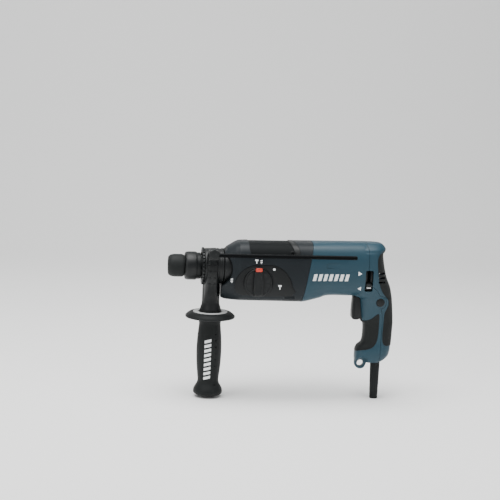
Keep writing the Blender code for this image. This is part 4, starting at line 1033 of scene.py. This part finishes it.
class HAMMER_OT_controls(bpy.types.Operator):
    """Mode dial and its button, trigger, lock button, reversing lever and cord guard."""
    bl_idname = "hammer.controls"
    bl_label = "Controls"

    def execute(self, context):
        centre = (DIAL_X, 0.0, DIAL_Z)
        plate = solid("mode_dial_knob", turned([(-40.7, 0.0), (-40.7, 21.4), (-40.0, 22.7), (-39.0, 23.0),
                                                (-37.9, 23.0), (-37.9, 0.0)], centre, "y", ROUND))
        outline = (arc((0.0, -12.8), 7.8, 188.0, 352.0, 20) + [(8.2, 0.0), (8.0, 8.0), (6.8, 18.2),
                                                               (-6.8, 18.2), (-8.0, 8.0), (-8.2, 0.0)])
        bar = form(prism([(DIAL_X + a, DIAL_Z + b) for a, b in outline], -47.0, -38.6))
        settle(soften(bar, 1.4, 4, 40.0))
        stem = form(disc(-39.0, -30.0, 8.6, centre, "y", 48))
        groove = form(tube(-41.6, -40.1, 20.4, 19.4, centre, "y", ROUND, 0.0))
        combine(plate, groove)
        for part in (bar, stem):
            combine(plate, part, "UNION")
        inset = rounded_slot(DIAL_X - 4.6, DIAL_X + 4.6, DIAL_Z - 15.0, DIAL_Z + 14.0, 3.0)
        inset = form(prism(inset, -50.0, -46.6))
        settle(combine(plate, inset), [bar, stem, groove, inset])
        finish_piece(plate, "mode_dial", "black_nylon", "mode_dial")
        button = rounded_slot(DIAL_X - 5.4, DIAL_X + 5.4, DIAL_Z + 18.7, DIAL_Z + 24.6, 1.8)
        button = settle(soften(solid("dial_button_cap", prism(button, -46.4, -42.6)), 1.1, 4, 50.0))
        finish_piece(button, "dial_button", "red_abs", "dial_button")

        # trigger: curved front, a step at its back edge
        outline = [(303.2, -79.4), (303.0, -70.0), (303.5, -58.0), (304.6, -44.0), (331.0, -44.0),
                   (331.0, -74.0), (327.0, -79.6), (322.4, -82.6), (317.4, -81.6), (312.6, -83.4),
                   (307.6, -83.4), (304.8, -82.2)]
        trigger = settle(soften(solid("trigger_blade", prism(outline, -9.0, 9.0)), 2.2, 4, 40.0))
        steps = [form(prism([(300.0, -90.0), (300.0, -40.0), (307.6, -40.0), (307.0, -60.0),
                             (307.6, -90.0)], *sorted((side * 8.2, side * 20.0)))) for side in (-1, 1)]
        settle(cut_all(trigger, steps), steps)
        finish_piece(trigger, "trigger", "black_nylon", "trigger")

        where = (LOCK_X, 0.0, LOCK_Z)
        lock = [(LOCK_Y, 0.0), (LOCK_Y, 5.6), (LOCK_Y + 0.5, 6.5), (LOCK_Y + 1.4, 6.9), (-14.0, 6.9),
                (-14.0, 0.0)]
        piece("lock_button_cap", turned(lock, where, "y", 64, soft=0.2), "lock_button", "black_nylon",
              "lock_button")

        # reversing lever: brush ring, arm and the tab in the slot
        lean = Matrix.Translation((0.0, 0.0, MOTOR_Z)) @ Matrix.Rotation(radians(32.0), 4, "X")
        left, right = near("brush_ring", 0, 1) - 9.8, near("brush_ring", 0, 1)
        arm = prism([(298.0, -16.0), (right - 2.6, -16.0), (right - 2.6, -29.0), (left + 2.6, -29.0),
                     (left + 2.6, -20.0), (304.0, -20.0), (304.0, -22.5), (298.0, -22.5)], -4.0, 4.0, "z")
        bmesh.ops.transform(arm, matrix=lean, verts=arm.verts)
        arm = form(arm)
        tab = prism([(left, -28.0), (right, -28.0), (right, -34.4), (left, -34.4)], -5.6, 5.6, "z")
        bmesh.ops.transform(tab, matrix=lean, verts=tab.verts)
        tab = settle(soften(form(tab), 1.0))
        ring = solid("brush_ring_lever",
                     tube(291.0, 301.0, 24.0, 19.0, (0.0, 0.0, MOTOR_Z), sides=64, soft=0.3))
        rooms = [form(box((293.2, side * 19.0 - 12.0, MOTOR_Z - 3.3),
                          (299.8, side * 19.0 + 12.0, MOTOR_Z + 3.3)))
                 for side in (-1, 1)]
        for part in (arm, tab):
            combine(ring, part, "UNION")
        settle(cut_all(ring, rooms), rooms + [arm, tab])
        finish_piece(ring, "brush_holder", "black_nylon", "brush_ring")
        # white strip across the outer face of the lever's tab: a painted highlight where light would catch the
        # tab, in the print finish
        line = prism([(left + 1.6, -34.3), (right - 1.6, -34.3), (right - 1.6, -34.6), (left + 1.6, -34.6)],
                     -0.9, 0.9, "z")
        bmesh.ops.transform(line, matrix=lean, verts=line.verts)
        piece("lever_painted_highlight", line, "brush_holder", "pale_nylon", finish="print")
        # curved black liner that closes the slot behind the lever's tab, with a way for its arm: a dark sheet
        # that stands in for the shade inside the slot, as painted shade
        arm_low, arm_high = left + 2.2, right - 2.2
        for name, low, high in (("slot_shade_liner_front", SLOT_X[0] + 0.3, arm_low),
                                ("slot_shade_liner_rear", arm_high, SLOT_X[1] - 0.3)):
            curve = [(-27.0 * cos(t), MOTOR_Z + 27.0 * sin(t))
                     for t in (radians(-42 + 4 * k) for k in range(16))]
            curve += [(-26.0 * cos(t), MOTOR_Z + 26.0 * sin(t))
                      for t in (radians(18 - 4 * k) for k in range(16))]
            piece(name, prism(curve, low, high, "x"), "tool_body", "black_nylon")

        guard = [(GUARD_END, 6.2), (GUARD_END + 0.4, 6.6), (GUARD_END + 4.4, 6.7), (GUARD_END + 4.8, 6.3),
                 (GUARD_END + 5.4, 6.3), (GUARD_END + 5.8, 6.8), (-205.0, 6.9), (-190.0, 7.35),
                 (-175.0, 7.7), (-160.0, 7.9), (-148.2, 7.9), (-148.2, 10.2), (-143.3, 10.2), (-143.3, 4.2),
                 (GUARD_END, 4.2)]
        piece("cord_guard_sleeve", turned(guard, (GUARD_X, 0.0, 0.0), "z", 64, True, 0.15), "tool_body",
              "black_rubber", "cord_guard")
        return {"FINISHED"}


def moved(outline, x, z, scale=1.0, turn=0.0):
    """Outline scaled, turned and carried to a place in side view."""
    spin = radians(turn)
    return [(x + scale * (a * cos(spin) - b * sin(spin)), z + scale * (a * sin(spin) + b * cos(spin)))
            for a, b in outline]


class HAMMER_OT_marks(bpy.types.Operator):
    """White printed pictograms, arrows and plain trim bars."""
    bl_idname = "hammer.marks"
    bl_label = "Printed marks"

    def execute(self, context):
        find = bpy.data.objects
        mallet = [(-1.0, -4.2), (1.0, -4.2), (1.0, 1.2), (3.2, 1.2), (3.2, 4.0), (-3.2, 4.0), (-3.2, 1.2),
                  (-1.0, 1.2)]
        drill = [[(-1.0, -4.6), (1.0, -4.0), (1.0, -3.0), (-1.0, -3.6)],
                 [(-1.9, -2.6), (1.9, -2.0), (1.9, 0.0), (-1.9, -0.6)],
                 [(-1.9, 1.0), (1.9, 1.6), (1.9, 3.6), (-1.9, 3.0)]]
        shell = find["gear_housing_shell"]
        printed("mark_hammer_drill", [moved(mallet, DIAL_X - 3.6, DIAL_Z + 34.4, 0.8)]
                + [moved(bar, DIAL_X + 4.0, DIAL_Z + 34.2, 0.8) for bar in drill], shell, "tool_body")
        printed("mark_drill", [moved(bar, DIAL_X - 42.4, DIAL_Z + 2.6, 0.9) for bar in drill], shell,
                "tool_body")
        plate = find["dial_panel_plate"]
        printed("mark_hammer", [moved(mallet, DIAL_X + 35.4, DIAL_Z - 6.6, 0.85)], plate, "tool_body")
        printed("mark_dot", [arc((DIAL_X + 25.2, DIAL_Z + 22.0), 2.0, 0.0, 350.0, 23)], plate, "tool_body")
        housing = find["motor_housing_shell"]
        arrow = [(-3.4, -4.0), (3.6, 0.0), (-3.4, 4.0)]
        middle_z = (SLOT_Z[0] + SLOT_Z[1]) / 2
        printed("mark_arrow_right", [moved(arrow, SLOT_X[0] - 9.4, middle_z + 12.6, 0.86)], housing,
                "tool_body")
        printed("mark_arrow_left", [moved(arrow, SLOT_X[0] - 9.4, middle_z - 12.4, 0.8, 180)], housing,
                "tool_body")
        # plain slanted bars where a maker would put a name
        bar = [(0.0, -15.4), (5.4, -15.2), (8.0, -4.2), (2.6, -4.4)]
        bars = [moved(bar, 231.0 + 8.8 * k, 0.0) for k in range(7)]
        printed("trim_bars_housing", bars, housing, "tool_body")
        grip_bar = [(-9.0, 0.0), (-9.0, -4.6), (1.6, -1.4), (1.6, 3.2)]
        grip_bars = [moved(grip_bar, NECK_X, -120.0 - 7.6 * k) for k in range(9)]
        printed("trim_bars_grip", grip_bars, find["side_grip_rubber"], "side_grip")
        return {"FINISHED"}


class HAMMER_PT_panel(bpy.types.Panel):
    """Settings of the hammer and one button for each step."""
    bl_label = "Rotary hammer"
    bl_idname = "HAMMER_PT_panel"
    bl_space_type = "VIEW_3D"
    bl_region_type = "UI"
    bl_category = "Hammer"

    def draw(self, context):
        for group in ("hammer_colours", "hammer_sizes", "hammer_stage"):
            settings = getattr(context.scene, group)
            column = self.layout.column()
            for name in settings.__annotations__:
                column.prop(settings, name)
        for step in STEPS:
            self.layout.operator(step.bl_idname)


STEPS = (HAMMER_OT_stage, HAMMER_OT_materials, HAMMER_OT_casing, HAMMER_OT_gear_case, HAMMER_OT_chuck,
         HAMMER_OT_side_clamp, HAMMER_OT_side_grip, HAMMER_OT_controls, HAMMER_OT_marks)
CLASSES = (HammerColours, HammerSizes, HammerStage) + STEPS + (HAMMER_PT_panel,)


def register():
    for cls in CLASSES:
        bpy.utils.register_class(cls)
    bpy.types.Scene.hammer_colours = PointerProperty(type=HammerColours)
    bpy.types.Scene.hammer_sizes = PointerProperty(type=HammerSizes)
    bpy.types.Scene.hammer_stage = PointerProperty(type=HammerStage)


def unregister():
    for name in ("hammer_colours", "hammer_sizes", "hammer_stage"):
        delattr(bpy.types.Scene, name)
    for cls in reversed(CLASSES):
        bpy.utils.unregister_class(cls)


def main():
    register()
    for step in STEPS:
        group, name = step.bl_idname.split(".")
        getattr(getattr(bpy.ops, group), name)()


if __name__ == "__main__":
    main()
